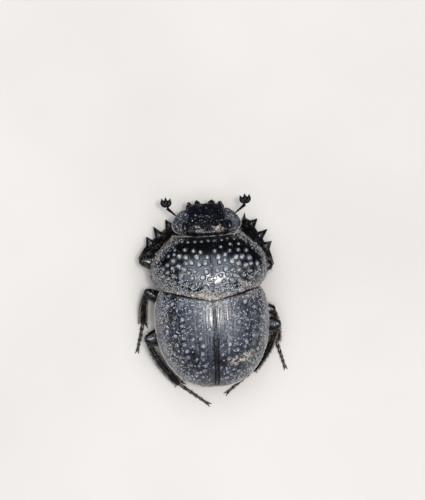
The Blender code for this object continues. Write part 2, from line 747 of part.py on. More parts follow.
def femur(pair, side_name, name, group, slot, grow=0.0):
    side = 1 if side_name == "right" else -1
    hip = Vector((side * HIPS[pair][0], *HIPS[pair][1:]))
    knee = Vector(KNEES[pair, side_name])
    end = knee + (knee - hip).normalized() * FEMUR_OVERRUN

    def size(share):
        return between(FEMUR_WIDTHS[pair], share), FEMUR_DEPTH[pair]

    ahead = (0.0, 1.0, 0.0)
    return limb(name, [hip, end], size, FEMUR_FACETS, FEMUR_BLUNT, group, slot, grow, ahead)


def tibia_line(pair, side_name):
    """Knee, bowed middle and end of a tibia, its heading, and the direction across it that points away
    from the body."""
    knee = Vector(KNEES[pair, side_name])
    end = Vector(ANKLES[pair, side_name])
    heading = (end - knee).normalized()
    outwards = heading.cross(Vector((0.0, 0.0, 1.0))).normalized()
    if outwards.x * knee.x < 0:
        outwards.negate()
    return knee, (knee + end) / 2 + outwards * TIBIA_BOW[pair], end, heading, outwards


def tibia(pair, side_name, name, group, slot, grow=0.0):
    knee, middle, end, _, outwards = tibia_line(pair, side_name)

    def size(share):
        return between(TIBIA_WIDTHS[pair], share), TIBIA_DEPTH[pair]

    path = [knee, middle, end]
    return limb(name, path, size, TIBIA_FACETS, TIBIA_BLUNT, group, slot, grow, outwards)


def fore_tibia(side_name, name, group, slot, grow=0.0):
    """A broad plate with digging teeth along its outer edge, in its own plane and then set at the knee."""
    knee, _, _, heading, outwards = tibia_line("fore", side_name)
    before, after, root_out = TIBIA_TOOTH_ROOTS
    edge = list(TIBIA_KNEE_END)
    for along, out in TIBIA_TEETH[:-1]:
        edge += [(along - before, root_out), (along, out), (along + after, root_out)]
    last_along, last_out = TIBIA_TEETH[-1]
    edge += [(last_along - before, last_out * LAST_TOOTH_ROOT), (last_along, last_out)]
    edge += TIBIA_INNER_EDGE
    middle = sum(TIBIA_SPINE) / 2
    reach = (TIBIA_SPINE[1] - TIBIA_SPINE[0]) / 2
    loop = [
        Vector((x + math.copysign(grow, x - middle), y + math.copysign(grow, y))) for x, y in edge
    ]

    def heights(x, _y, r, _edge, above):
        slim = 1.0 - BLADE_THINNING * min(1.0, abs(x - middle) / reach)
        half = (TIBIA_DEPTH["fore"] / 2 * slim + grow) * swell(r, *BLADE_SWELL)
        return half if above else -half

    spine = [(x, 0.0) for x in TIBIA_SPINE]
    made = plate(
        name, loop, spine, heights, group, slot, len(loop), *BLADE_ROWS, False, (0.0, 0.0, 0.0)
    )
    turn = Matrix((heading, outwards, heading.cross(outwards))).transposed()
    made.location = knee * MM
    made.rotation_euler = turn.to_euler()
    return made


def add_spur(made, pair, side_name, cutters):
    """The spur at the inner corner of a tibia's end."""
    _, _, end, heading, outwards = tibia_line(pair, side_name)
    width = TIBIA_WIDTHS[pair][-1][1]
    root_in, tip_in = SPUR_REACH
    root = end - heading * SPUR_DEPTH - outwards * (width * root_in)
    root.z -= SPUR_DROP
    tip = end + heading * SPUR_LENGTH - outwards * (width * tip_in)
    tip.z = SPUR_RADIUS
    join(made, tooth(
        f"{made.name}_spur", root, tip, SPUR_RADIUS, 2 * SPUR_RADIUS, outwards, cutters
    ))


def tarsus(pair, side_name, name, group, slot, cutters, grow=0.0):
    """A foot: it starts just past the tibia's end, runs along the floor and ends in two claws."""
    end = Vector(ANKLES[pair, side_name])
    toe_x, toe_y = TOES[pair, side_name]
    heading = Vector((toe_x - end.x, toe_y - end.y, 0.0)).normalized()
    start = Vector((end.x, end.y, TARSUS_START_Z)) - heading * TARSUS_SOCKET
    toe = Vector((toe_x, toe_y, TARSUS_WIDTH * (1.0 - TARSUS_TAPER) / 2 - FOOT_PRESS))
    middle = start.lerp(toe, 0.5)
    middle.z = TARSUS_WIDTH / 2 - FOOT_PRESS

    def size(share):
        bead = abs(math.sin(share * TARSUS_JOINTS * math.pi))
        wide = TARSUS_WIDTH * (1.0 - TARSUS_TAPER * share)
        wide *= TARSUS_WAIST + (1.0 - TARSUS_WAIST) * bead
        return wide, wide

    facets = (TARSUS_SIDES, 2 * TARSUS_JOINTS)
    made = limb(name, [start, middle, toe], size, facets, TARSUS_BLUNT, group, slot, grow)
    if slot:
        for label, turn in CLAW_SPREADS.items():
            aim = heading.copy()
            aim.rotate(Matrix.Rotation(math.radians(turn), 3, "Z"))
            tip = toe + aim * CLAW_LENGTH
            tip.z = CLAW_RADIUS * TOOTH_TIP
            across = heading.cross(Vector((0.0, 0.0, 1.0)))
            join(made, tooth(
                f"{name}_{label}_claw", toe - heading * CLAW_DEPTH + Vector((0.0, 0.0, CLAW_RISE)),
                tip, CLAW_RADIUS, 2 * CLAW_RADIUS, across, cutters,
            ))
    return made


# ---------------------------------------------------------------- the whole beetle


def build_leg(pair, side, side_name, body, parts, cutters, floor):
    """One leg, seated in the body and standing on the floor."""

    def called(piece):
        return f"{pair}_{piece}_{side_name}"

    hip = coxa(pair, side, called("coxa"), parts, "leg")
    cut(body, coxa(pair, side, called("coxa_seat"), cutters, None, GAP))
    thigh = femur(pair, side_name, called("femur"), parts, "leg")
    thigh_seat = femur(pair, side_name, called("femur_seat"), cutters, None, GAP)
    cut(body, thigh_seat)
    cut(hip, thigh_seat)
    if pair == "fore":
        shin = fore_tibia(side_name, called("tibia"), parts, "leg")
        cut(thigh, fore_tibia(side_name, called("tibia_seat"), cutters, None, GAP))
    else:
        shin = tibia(pair, side_name, called("tibia"), parts, "leg")
        cut(thigh, tibia(pair, side_name, called("tibia_seat"), cutters, None, GAP))
        foot = tarsus(pair, side_name, called("tarsus"), parts, "leg", cutters)
        cut(foot, floor)
        add_spur(shin, pair, side_name, cutters)
        cut(shin, tarsus(pair, side_name, called("tarsus_seat"), cutters, None, cutters, GAP))
    cut(shin, floor)


def centre_over_origin(parts, cutters):
    """Move everything so that the origin lies on the floor, under the middle of the beetle's bounds."""
    bpy.context.view_layer.update()
    depsgraph = bpy.context.evaluated_depsgraph_get()
    places = [
        obj.matrix_world @ vert.co
        for obj in parts.objects
        for vert in obj.evaluated_get(depsgraph).data.vertices
    ]
    middle = [(min(line) + max(line)) / 2 for line in zip(*places)]
    for obj in [*parts.objects, *cutters.objects]:
        obj.location.x -= middle[0]
        obj.location.y -= middle[1]


def build():
    clear_scene()
    parts = new_collection("dung_beetle")
    cutters = new_collection("cutters")
    bm = bmesh.new()
    bmesh.ops.create_cube(bm, size=FLOOR_CUT)
    floor = add_object("floor_cut", bm, cutters, None, (0.0, 0.0, -FLOOR_CUT / 2))

    shield = pronotum(parts)
    under = prosternum(parts)
    middle = chest(parts)
    rear = abdomen(parts)
    wing_case(1, "elytron_right", parts)
    wing_case(-1, "elytron_left", parts)
    tail = (PYGIDIUM_CENTRE, PYGIDIUM_RADII, PYGIDIUM_FACETS)
    ellipsoid("pygidium", *tail, parts, "underside", 0.0, PYGIDIUM_TILT)
    cut(rear, ellipsoid("pygidium_seat", *tail, cutters, None, GAP, PYGIDIUM_TILT))

    skull = head("head", parts, "head_shell")
    head_seat = head("head_seat", cutters, None, GAP)
    cut(shield, head_seat)
    cut(under, head_seat)
    chin = ellipsoid("labium", CHIN_CENTRE, CHIN_RADII, CHIN_FACETS, parts, "underside")
    cut(chin, head_seat)

    for side, side_name in ((1, "right"), (-1, "left")):
        eye(side, f"eye_{side_name}", parts, "eye")
        cut(skull, eye(side, f"eye_seat_{side_name}", cutters, None, EYE_SOCKET_GAP))
        feeler_stem(side_name, f"antenna_{side_name}", parts, "feeler")
        cut(skull, feeler_stem(side_name, f"antenna_seat_{side_name}", cutters, None, GAP))
        feeler_club(side, side_name, f"antenna_club_{side_name}", parts, cutters)
        palp(side, f"palp_{side_name}", parts, "feeler")
        cut(skull, palp(side, f"palp_seat_{side_name}", cutters, None, GAP))
        for pair in ("fore", "middle", "hind"):
            body = under if pair == "fore" else middle
            build_leg(pair, side, side_name, body, parts, cutters, floor)
    centre_over_origin(parts, cutters)


build()
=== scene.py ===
"""The looks of the spotted dung beetle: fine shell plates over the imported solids, their finishes,
hairs, floor, light and camera.

Shapes are worked out in millimetres in the part's own building frame, whose origin lies under the
middle of the beetle, and Shape.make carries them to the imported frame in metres. +Y runs towards the
head.
"""

import math

import bpy
import numpy as np
from mathutils import Matrix, Vector


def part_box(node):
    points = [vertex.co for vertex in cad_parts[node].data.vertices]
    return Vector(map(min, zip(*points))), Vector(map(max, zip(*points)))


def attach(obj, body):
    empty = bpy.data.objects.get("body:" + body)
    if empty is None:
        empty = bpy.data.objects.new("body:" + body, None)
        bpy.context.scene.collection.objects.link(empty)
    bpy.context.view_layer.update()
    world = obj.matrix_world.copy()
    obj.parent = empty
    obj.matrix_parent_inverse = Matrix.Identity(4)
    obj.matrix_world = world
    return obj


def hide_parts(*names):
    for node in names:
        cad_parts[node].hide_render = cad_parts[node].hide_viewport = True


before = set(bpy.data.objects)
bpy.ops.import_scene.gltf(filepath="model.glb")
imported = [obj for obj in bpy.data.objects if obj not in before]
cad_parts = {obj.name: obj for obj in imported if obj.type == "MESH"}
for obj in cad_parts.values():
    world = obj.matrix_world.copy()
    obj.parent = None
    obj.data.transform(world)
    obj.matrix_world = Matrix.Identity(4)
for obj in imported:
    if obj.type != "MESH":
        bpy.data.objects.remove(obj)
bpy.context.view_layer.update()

MM = 0.001
ROOT = "root"
CHART_SLACK, CHART_GAP, CHART_EDGE = 1.15, 0.01, 0.005  # how charts are set out on an unwrap
MERGE_GRID = 1e5  # steps to the millimetre: points that fall on the same step are joined
SIDES = {1: "right", -1: "left"}

# Wing cases.
WIDEST_Y, DOME_FRONT_Y, DOME_REAR_Y, DOME_HALF_WIDTH = -3.2, 0.6, -12.7, 7.7
DOME_TOP_Y, DOME_TOP_Z, DOME_MARGIN_Z, ARCH_POWER = -3.4, 10.35, 4.5, 2.35
BASE_MIDDLE_Y, CASE_THICKNESS = -1.03, 0.42
INTERVALS = 9  # between the striae of each wing case

# Pronotum, at shares of its length from the front edge to the base.
SHIELD_HALF_WIDTH = (
    (0.0, 4.65), (0.21, 6.2), (0.36, 7.2), (0.53, 7.74), (0.7, 7.82), (0.86, 7.47), (1.0, 6.66)
)
SHIELD_MARGIN_Z = ((0.0, 5.6), (0.25, 5.05), (0.5, 4.8), (0.75, 4.85), (1.0, 5.3))
SHIELD_TOP_Z = (
    (0.0, 7.5), (0.05, 8.3), (0.15, 9.3), (0.3, 10.15), (0.5, 10.7), (0.7, 10.85), (0.87, 10.6),
    (1.0, 9.95),
)
SHIELD_FRONT_Y, SHIELD_HOLLOW, SHIELD_FLOOR_Z = 7.75, 0.3, 4.45
SHIELD_LOW, SHIELD_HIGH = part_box("pronotum")
SHIFT_X = (SHIELD_LOW.x + SHIELD_HIGH.x) / 2 / MM
SHIFT_Y = SHIELD_HIGH.y / MM - (SHIELD_FRONT_Y + SHIELD_HOLLOW)
SHIFT = np.array([SHIFT_X, SHIFT_Y, 0.0])

# Head, in its own plane.
HEAD_OUTLINE = (
    (0.0, 4.8), (0.5, 4.88), (1.05, 5.45), (1.42, 4.85), (1.75, 4.72), (2.2, 5.15), (2.52, 4.4),
    (2.62, 3.25), (3.1, 3.85), (3.95, 3.1), (4.5, 2.2), (4.7, 1.4), (4.5, 0.65), (3.7, 0.05),
    (2.5, -0.35), (1.2, -0.7), (0.0, -0.8),
)
HEAD_CENTRE_Y, HEAD_TILT, HEAD_HINGE = 1.7, math.radians(33.0), np.array([0.0, 8.15, 5.95])
HEAD_EDGE, HEAD_DOME, HEAD_DEPTH = 0.17, 1.05, 1.2
EYE_PLACE, EYE_RADII = (3.05, 0.75, 0.77), (0.42, 0.75, 0.55)

# Underside.
BODY_CENTRE_Z, BELLY_Z, BELLY_POWER, CORE_INSET = 4.1, 1.7, 2.1, 0.6
ABDOMEN_FRONT_Y, ABDOMEN_REAR_Y, ABDOMEN_RISE, STERNITES = -6.6, -11.7, 1.7, 6
PYGIDIUM_CENTRE, PYGIDIUM_RADII = (0.0, -11.15, 3.75), (2.7, 1.35, 0.45)
PYGIDIUM_TILT = math.radians(48.0)
SECTION_ENDS = (0.0, 0.35, 0.62, 0.82, 0.94)
PROSTERNUM_MARGIN = (
    (0.0, 7.1), (2.4, 7.1), (4.4, 6.9), (6.3, 5.6), (7.2, 3.6), (6.8, 1.8), (4.6, 0.5), (2.6, -0.2),
    (0.0, -0.75),
)
PROSTERNUM_CENTRE, PROSTERNUM_TOP_Z = (0.0, 3.3), 4.4

# Legs: each pair's hip, its coxa's centre and radii, widths at shares of its length, depths and bow.
LIMBS = {
    "fore": dict(
        hip=(3.3, 3.9, 2.5), coxa=((2.35, 3.8, 2.5), (1.7, 1.1, 1.0)), femur_depth=1.5,
        femur=((0.0, 1.5), (0.4, 2.2), (0.75, 2.0), (1.0, 1.5)), tibia_depth=0.95, bow=0.0,
    ),
    "middle": dict(
        hip=(3.9, -2.1, 2.2), coxa=((3.3, -2.3, 2.1), (0.85, 1.3, 0.7)), femur_depth=1.2,
        femur=((0.0, 1.3), (0.4, 1.85), (0.75, 1.65), (1.0, 1.3)), tibia_depth=0.8,
        tibia=((0.0, 0.8), (0.5, 1.1), (1.0, 1.3)), bow=0.15,
    ),
    "hind": dict(
        hip=(3.7, -5.1, 2.3), coxa=((3.4, -5.1, 2.15), (2.4, 0.85, 0.75)), femur_depth=1.3,
        femur=((0.0, 1.5), (0.35, 2.25), (0.7, 2.35), (1.0, 1.5)), tibia_depth=0.75,
        tibia=((0.0, 0.8), (0.5, 1.15), (1.0, 1.32)), bow=0.35,
    ),
}
JOINTS = {  # each leg's knee, ankle and, where it has a foot, toe
    ("fore", 1): ((8.57, 3.26, 3.3), (5.37, 9.16, 0.47)),
    ("fore", -1): ((-9.15, 5.0, 3.2), (-3.72, 9.07, 0.39)),
    ("middle", 1): ((8.6, -2.75, 3.2), (9.0, -7.3, 0.75), (9.95, -10.9, 0.185)),
    ("middle", -1): ((-8.7, 0.75, 3.2), (-9.35, -3.7, 0.75), (-10.3, -7.3, 0.185)),
    ("hind", 1): ((9.2, -4.75, 3.6), (5.4, -11.15, 0.72), (1.75, -13.95, 0.185)),
    ("hind", -1): ((-9.1, -5.8, 3.5), (-4.85, -12.35, 0.72), (-1.05, -15.3, 0.185)),
}
KNEE_END = ((-0.35, 0.0), (0.0, 0.55), (1.3, 0.95))
TEETH = ((2.95, 2.05), (4.75, 2.48), (6.85, 2.13), (8.7, 1.15))
TOOTH_BEFORE, TOOTH_AFTER, TOOTH_OUT = 0.85, 0.35, 1.15
INNER_EDGE = ((7.75, 0.0), (7.3, -0.45), (7.95, -1.0), (6.8, -0.85), (3.3, -0.8), (0.4, -0.55))
TIBIA_SPINE = (0.6, 7.0)
TARSUS_WIDTH, TARSUS_START_Z, TARSUS_MIDDLE_Z = 0.6, 0.42, 0.25
CLAW_TURNS, CLAW_LENGTH, CLAW_TIP_Z, CLAW_RADIUS = (30.0, -26.0), 0.6, 0.05, 0.1
SPUR_RADIUS, SPUR_TIP_Z, COMB_RADIUS = 0.17, 0.25, 0.06

# Hairs: how thick they are along their length, how far their roots are sunk, how much their aims and
# curls vary, and where and how large their spots are on the unwrap.
HAIR_STEPS, HAIR_SLIM = (0.0, 0.3, 0.65, 1.0), (1.0, 0.85, 0.5, 0.04)
HAIR_SUNK, HAIR_STRAY, HAIR_CURL, HAIR_LENGTHS = 0.05, 0.13, 0.12, (0.75, 1.15)
HAIR_SPOT, HAIR_EDGE, HAIR_SPREAD = 0.003, 0.01, 0.975

# Feelers and mouthparts.
FEELERS = {  # three points along the stem, then the club's root
    1: ((3.15, 10.1, 4.15), (4.3, 10.9, 4.1), (5.52, 11.85, 4.1), (5.62, 11.95, 4.1)),
    -1: ((-3.15, 10.1, 4.15), (-4.15, 10.95, 4.1), (-5.2, 11.95, 4.1), (-5.3, 12.05, 4.1)),
}
CLUB_LENGTH, CLUB_DEPTH = 1.4, 0.6
STEM_CUTS, TARSUS_CUTS = (0.0, 0.52, 0.66, 0.76, 0.85, 0.93, 1.0), (0.0, 0.26, 0.45, 0.62, 0.78, 1.0)
PALP_SEGMENTS = ((0.46, 0.0, 0.42), (0.42, 0.38, 0.72), (0.4, 0.68, 1.0))  # width, first and last share
CLUB_HEADINGS = {1: (24.0, -4.0, -33.0), -1: (24.0, 0.0, -27.0)}  # each leaf's, in degrees outwards
PALP = ((1.75, 10.5, 3.0), (1.8, 11.3, 2.75), (1.65, 12.1, 2.5))
CHIN_CENTRE, CHIN_RADII = (0.0, 9.9, 3.1), (1.5, 1.35, 0.6)

# A curved black card round the beetle's front and one overhead, out of the camera's sight, in metres.
FLAG_REACH, FLAG_APRON = 0.05, 0.0165
FLAG_APRON_Z, FLAG_FOOT_Z, FLAG_LIFT = 0.0003, 0.001, 0.006
FLAG_TURNS, FLAG_RISES = (0.0, 25.0, 45.0, 60.0, 86.0), (37.0, 48.0, 59.0, 61.0, 42.0)  # degrees
FLAG_STEP = 4.0  # degrees
REAR_CARD = ((-0.2, -0.05, 0.2), (-0.006, -0.058, 0.2), (0.02, -0.25, 0.2), (-0.2, -0.25, 0.2))

# Light and camera, in metres.
FLOOR_SIZE, WORLD_STRENGTH = 5.0, 0.9
WORLD_COLOURS = (  # at heights from straight down, 0, upwards
    (0.0, (0.70, 0.665, 0.60)), (0.22, (0.60, 0.585, 0.55)), (0.5, (0.20, 0.22, 0.26))
)
AREA_LAMPS = (  # name, place, size, radiance and colour
    ("soft_box", (0.0, 0.1, 0.6), (0.88, 1.14), 3.0, (0.76, 0.85, 1.0)),
    ("side_fill", (-1.2, 0.5, 0.9), (0.5, 0.5), 0.8, (1.0, 0.97, 0.93)),
)
SOFT_BOX_TURN, KEY_ANGLE = math.radians(9.0), math.radians(9.0)
KEY_ENERGY, KEY_COLOUR, KEY_FROM = 1.7, (1.0, 0.95, 0.89), (0.115, 0.01, 0.98)
CAMERA_LENS, CAMERA_SENSOR, CAMERA_DISTANCE, CAMERA_CLIP = 158.5, 36.0, 0.3, (0.01, 4.0)
CAMERA_LEAN, CAMERA_TWIST = math.radians(3.8), math.radians(3.6)
CAMERA_TARGET = (0.61, 5.868, 5.0)  # in the building frame, in millimetres

# Finishes: linear colours.
PIT_AND_SHEEN_GREY, DUST, RIM = (0.47, 0.485, 0.51), (0.64, 0.52, 0.39), (0.54, 0.47, 0.38)
# GRAIN_GREY's blue tint is partly a painted blue sky sheen
GRAIN_GREY, GRAIN_TAN, GRAIN_DARK = (0.64, 0.70, 0.79), (0.68, 0.54, 0.41), (0.08, 0.095, 0.12)


# ---------------------------------------------------------------- numbers


def smooth(start, end, value):
    """From 0 at start to 1 at end, either of which may be the higher."""
    t = np.clip((value - start) / (end - start), 0.0, 1.0)
    return t * t * (3.0 - 2.0 * t)


def bell(value, width, power=2):
    """1 where value is 0, falling towards 0 at a few widths to either side."""
    return np.exp(-((value / width) ** power))


def signed(value, exponent):
    return np.sign(value) * np.abs(value) ** exponent


def unit(vectors):
    return vectors / np.maximum(np.linalg.norm(vectors, axis=-1, keepdims=True), 1e-9)


def spline(stations, share):
    """The value at each share, on the smooth curve through stations of (share, value)."""
    at, value = np.array(stations, float).T
    i = np.clip(np.searchsorted(at, share), 1, len(at) - 1)
    before, after = np.maximum(i - 2, 0), np.minimum(i + 1, len(at) - 1)
    a, b, low, high = at[i - 1], at[i], value[i - 1], value[i]
    rise_a = (high - value[before]) / (b - at[before]) * (b - a)
    rise_b = (value[after] - low) / (at[after] - a) * (b - a)
    t = (share - a) / (b - a)
    bend = rise_a * t * (1.0 - t) ** 2 - rise_b * t * t * (1.0 - t)
    return low + (high - low) * t * t * (3.0 - 2.0 * t) + bend


def through(points, at):
    """Points and directions on the smooth curve through points, at numbers of points along it."""
    points = np.asarray(points, float)
    whole = np.vstack([2 * points[0] - points[1], points, 2 * points[-1] - points[-2]])
    first = np.clip(np.floor(at).astype(int), 0, len(points) - 2)
    t = (at - first)[:, None]
    a, b, c, d = (whole[first + k] for k in range(4))
    start, turn, twist = (c - a) * 0.5, (2 * a - 5 * b + 4 * c - d) * 0.5, (3 * b - a - 3 * c + d) * 0.5
    place = b + start * t + turn * t**2 + twist * t**3
    return place, unit(start + 2 * turn * t + 3 * twist * t**2)


def run_along(points, axis):
    """Distance covered along an axis of a grid of points, from its start."""
    steps = np.linalg.norm(np.diff(points, axis=axis), axis=-1)
    start = np.zeros_like(np.take(steps, [0], axis=axis))
    return np.concatenate([start, np.cumsum(steps, axis=axis)], axis=axis)


def evenly(line, first, last, count):
    """Parameters from first to last at which line(parameter) steps evenly."""
    fine = np.linspace(first, last, 4000)
    run = run_along(line(fine), 0)
    return np.interp(np.linspace(0.0, run[-1], count), run, fine)


def loop_through(half, count, curved, softness):
    """A closed loop, evenly spaced, from its right half; softness rounds it, in millimetres."""
    half = np.array(half, float)
    corners = np.vstack([half, half[-2:0:-1] * (-1.0, 1.0)]) if curved else half
    ring = np.vstack([corners[-1:], corners, corners[:2]])
    fine = np.linspace(1, len(corners) + 1, 8001)
    if curved:
        line = through(ring, fine)[0]
    else:
        line = np.stack([np.interp(fine, np.arange(len(ring)), ring[:, k]) for k in (0, 1)], 1)
    run = run_along(line, 0)
    at = np.linspace(0.0, run[-1], count + 1)
    even = np.stack([np.interp(at, run, line[:, k]) for k in (0, 1)], 1)[:-1]
    width = softness / (run[-1] / count)
    steps = np.arange(-int(3 * width) - 1, int(3 * width) + 2)
    weights = np.exp(-0.5 * (steps / width) ** 2)
    soft = sum(w * np.roll(even, k, axis=0) for w, k in zip(weights, steps)) / weights.sum()
    return np.vstack([soft, soft[:1]])


def hashed(cells, salt):
    """A number from 0 to 1 for each whole-numbered cell."""
    c = cells.astype(np.int64)
    h = c[..., 0] * 73856093 ^ c[..., 1] * 19349663 ^ c[..., 2] * 83492791 ^ (salt + 7) * 26544357
    h = ((h ^ (h >> 13)) * 1274126177) & 0xFFFFFFFF
    h = ((h ^ (h >> 15)) * 2246822519) & 0xFFFFFFFF
    return (h ^ (h >> 16)) / 4294967296.0


def noise(points, size, salt=0, octaves=2):
    """Smooth noise from 0 to 1, whose lumps are about size across."""
    total, weights = 0.0, 0.0
    for octave in range(octaves):
        q = points / size * 2.0**octave
        cell = np.floor(q)
        f = smooth(0.0, 1.0, q - cell)
        for corner in np.ndindex(2, 2, 2):
            share = np.prod(np.where(corner, f, 1.0 - f), axis=-1)
            total = total + share * hashed(cell + corner, salt + octave) * 0.5**octave
        weights += 0.5**octave
    return total / weights


def patches(points, size, salt, low, high):
    """Smooth noise, cut to patches: 0 where it is below low and 1 where it is above high."""
    return smooth(low, high, noise(points, size, salt))


def grains(points, size, salt=0):
    """Distance to the nearest of many scattered grains, in grain sizes, and that grain's number."""
    q = points / size
    cell = np.floor(q)
    best, own = np.full(q.shape[:-1], 9.0), np.zeros(q.shape[:-1])
    for step in np.ndindex(3, 3, 3):
        c = cell + step - 1.0
        centre = c + np.stack([hashed(c, salt + k) for k in range(3)], -1)
        away = np.linalg.norm(q - centre, axis=-1)
        own = np.where(away < best, hashed(c, salt + 3), own)
        best = np.minimum(best, away)
    return best, own


def lumps(points, size, salt, inner, outer, least=0.3):
    """Scattered grains as heights, from least to 1, that fall to 0 between inner and outer."""
    away, own = grains(points, size, salt)
    return smooth(outer, inner, away) * (least + (1.0 - least) * own)


def outward(points, centre, wrap=False):
    """Unit normals of a grid of points, away from a centre."""
    across, along = np.gradient(points, axis=1), np.gradient(points, axis=0)
    if wrap:
        across[:, 0] = across[:, -1] = (points[:, 1] - points[:, -2]) / 2
    found = unit(np.cross(across, along))
    return found * np.sign(np.sum(found * (points - np.asarray(centre))))


def spaced(places, gaps):
    """Which places are kept when each has to keep its gap from those kept before it."""
    kept = []
    for i, (place, gap) in enumerate(zip(places, gaps)):
        if not kept or np.min(np.sum((places[kept] - place) ** 2, axis=1)) > gap * gap:
            kept.append(i)
    return np.array(kept)


def nearest_pit(points, pits):
    """Distance from each point to its nearest pit, in that pit's radii, and the pit's strength. Each
    pit is its centre, radius and strength."""
    best, own = np.full(points.shape[:-1], 9.0), np.zeros(points.shape[:-1])
    for *centre, radius, strength in pits:
        away = np.linalg.norm(points - centre, axis=-1) / radius
        own = np.where(away < best, strength, own)
        best = np.minimum(best, away)
    return best, own


# ---------------------------------------------------------------- meshes


class Shape:
    """Sheets of points in millimetres, gathered into one mesh. Points at the same place are joined."""

    def __init__(self):
        self.points, self.marks, self.charts, self.faces = [], [], [], []
        self.count, self.checked = 0, 0

    def sheet(self, points, **marks):
        """Add a grid of points, rows by columns, and give back its point numbers."""
        rows, columns = points.shape[:2]
        index = self.count + np.arange(rows * columns).reshape(rows, columns)
        self.count += rows * columns
        self.points.append(points.reshape(-1, 3))
        self.marks.append({k: np.broadcast_to(v, (rows, columns)).ravel() for k, v in marks.items()})
        size = (run_along(points, 1)[:, -1].mean(), run_along(points, 0)[-1].mean())
        grid = np.meshgrid(np.linspace(0, 1, columns), np.linspace(0, 1, rows))
        self.charts.append((size, np.stack(grid, -1).reshape(-1, 2)))
        self.quads(index[:-1, :-1], index[:-1, 1:], index[1:, 1:], index[1:, :-1])
        return index

    def quads(self, *corners):
        self.faces.append(np.stack([c.ravel() for c in corners], -1))

    def bridge(self, fine, coarse):
        """Faces between two borders of different fineness that start and end together."""
        nearest = np.round(np.linspace(0, len(coarse) - 1, len(fine))).astype(int)
        self.quads(fine[:-1], fine[1:], coarse[nearest[1:]], coarse[nearest[:-1]])

    def close(self):
        """The faces added since the last call make a closed body: turn them to face outwards."""
        faces = np.concatenate(self.faces[self.checked :])
        a, b, c, d = (np.concatenate(self.points)[faces[:, k]] for k in range(4))
        volume = np.sum(np.cross(a, b) * c) + np.sum(np.cross(a, c) * d)
        self.faces[self.checked :] = [faces[:, ::-1] if volume < 0 else faces]
        self.checked = len(self.faces)
        return self

    def body(self, points, **marks):
        """Add a grid of points that closes by itself."""
        self.sheet(points, **marks)
        return self.close()

    def unwrapped(self):
        """Each sheet's chart, set out on shelves in the unit square."""
        area = sum(w * h for (w, h), _ in self.charts)
        limit = max(CHART_SLACK * math.sqrt(area), *(w for (w, _), _ in self.charts))
        placed, x, y, shelf, wide = [None] * len(self.charts), 0.0, 0.0, 0.0, 0.0
        gap = CHART_GAP * limit
        for i in sorted(range(len(self.charts)), key=lambda n: -self.charts[n][0][1]):
            (w, h), _ = self.charts[i]
            if x and x + w > limit + gap:
                x, y, shelf = 0.0, y + shelf + gap, 0.0
            placed[i] = (x, y)
            x, shelf, wide = x + w + gap, max(shelf, h), max(wide, x + w)
        whole = max(wide, y + shelf)
        return np.concatenate([
            (np.array(at) + grid * size) / whole * (1.0 - 2 * CHART_EDGE) + CHART_EDGE
            for at, (size, grid) in zip(placed, self.charts)
        ])

    def make(self, name, slot, finish, node=None, sharp=None):
        points, faces, uv = np.concatenate(self.points), np.concatenate(self.faces), self.unwrapped()
        points[:, 2] = np.maximum(points[:, 2], 0.0)
        steps = np.round(points * MERGE_GRID).astype(np.int64)
        _, first, joined = np.unique(steps, axis=0, return_index=True, return_inverse=True)
        corners = joined.ravel()[faces]
        same = corners == np.roll(corners, -1, axis=1)
        four, three = same.sum(1) == 0, same.sum(1) == 1
        loops, sources = (
            np.concatenate([v[four].ravel(), v[three][~same[three]]]) for v in (corners, faces)
        )
        starts = np.concatenate([
            4 * np.arange(four.sum()), 4 * four.sum() + 3 * np.arange(three.sum())
        ])
        mesh = bpy.data.meshes.new(name)
        mesh.vertices.add(len(first))
        mesh.vertices.foreach_set("co", ((points[first] + SHIFT) * MM).ravel())
        mesh.loops.add(len(loops))
        mesh.loops.foreach_set("vertex_index", loops.astype(np.int32))
        mesh.polygons.add(len(starts))
        mesh.polygons.foreach_set("loop_start", starts.astype(np.int32))
        mesh.update(calc_edges=True)
        for mark in sorted({k for marks in self.marks for k in marks}):
            values = np.concatenate([
                marks.get(mark, np.zeros(len(part))) for marks, part in zip(self.marks, self.points)
            ])
            layer = mesh.attributes.new(mark, "FLOAT", "POINT")
            layer.data.foreach_set("value", values[first].astype(np.float32))
        layer = mesh.uv_layers.new(name="OFBake")
        layer.data.foreach_set("uv", uv[sources].ravel().astype(np.float32))
        mesh.validate()
        mesh.shade_smooth()
        if sharp:
            mesh.set_sharp_from_angle(angle=math.radians(sharp))
        mesh.materials.append(finish)
        made = added(name, mesh)
        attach(made, ROOT)
        if node:
            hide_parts(node)


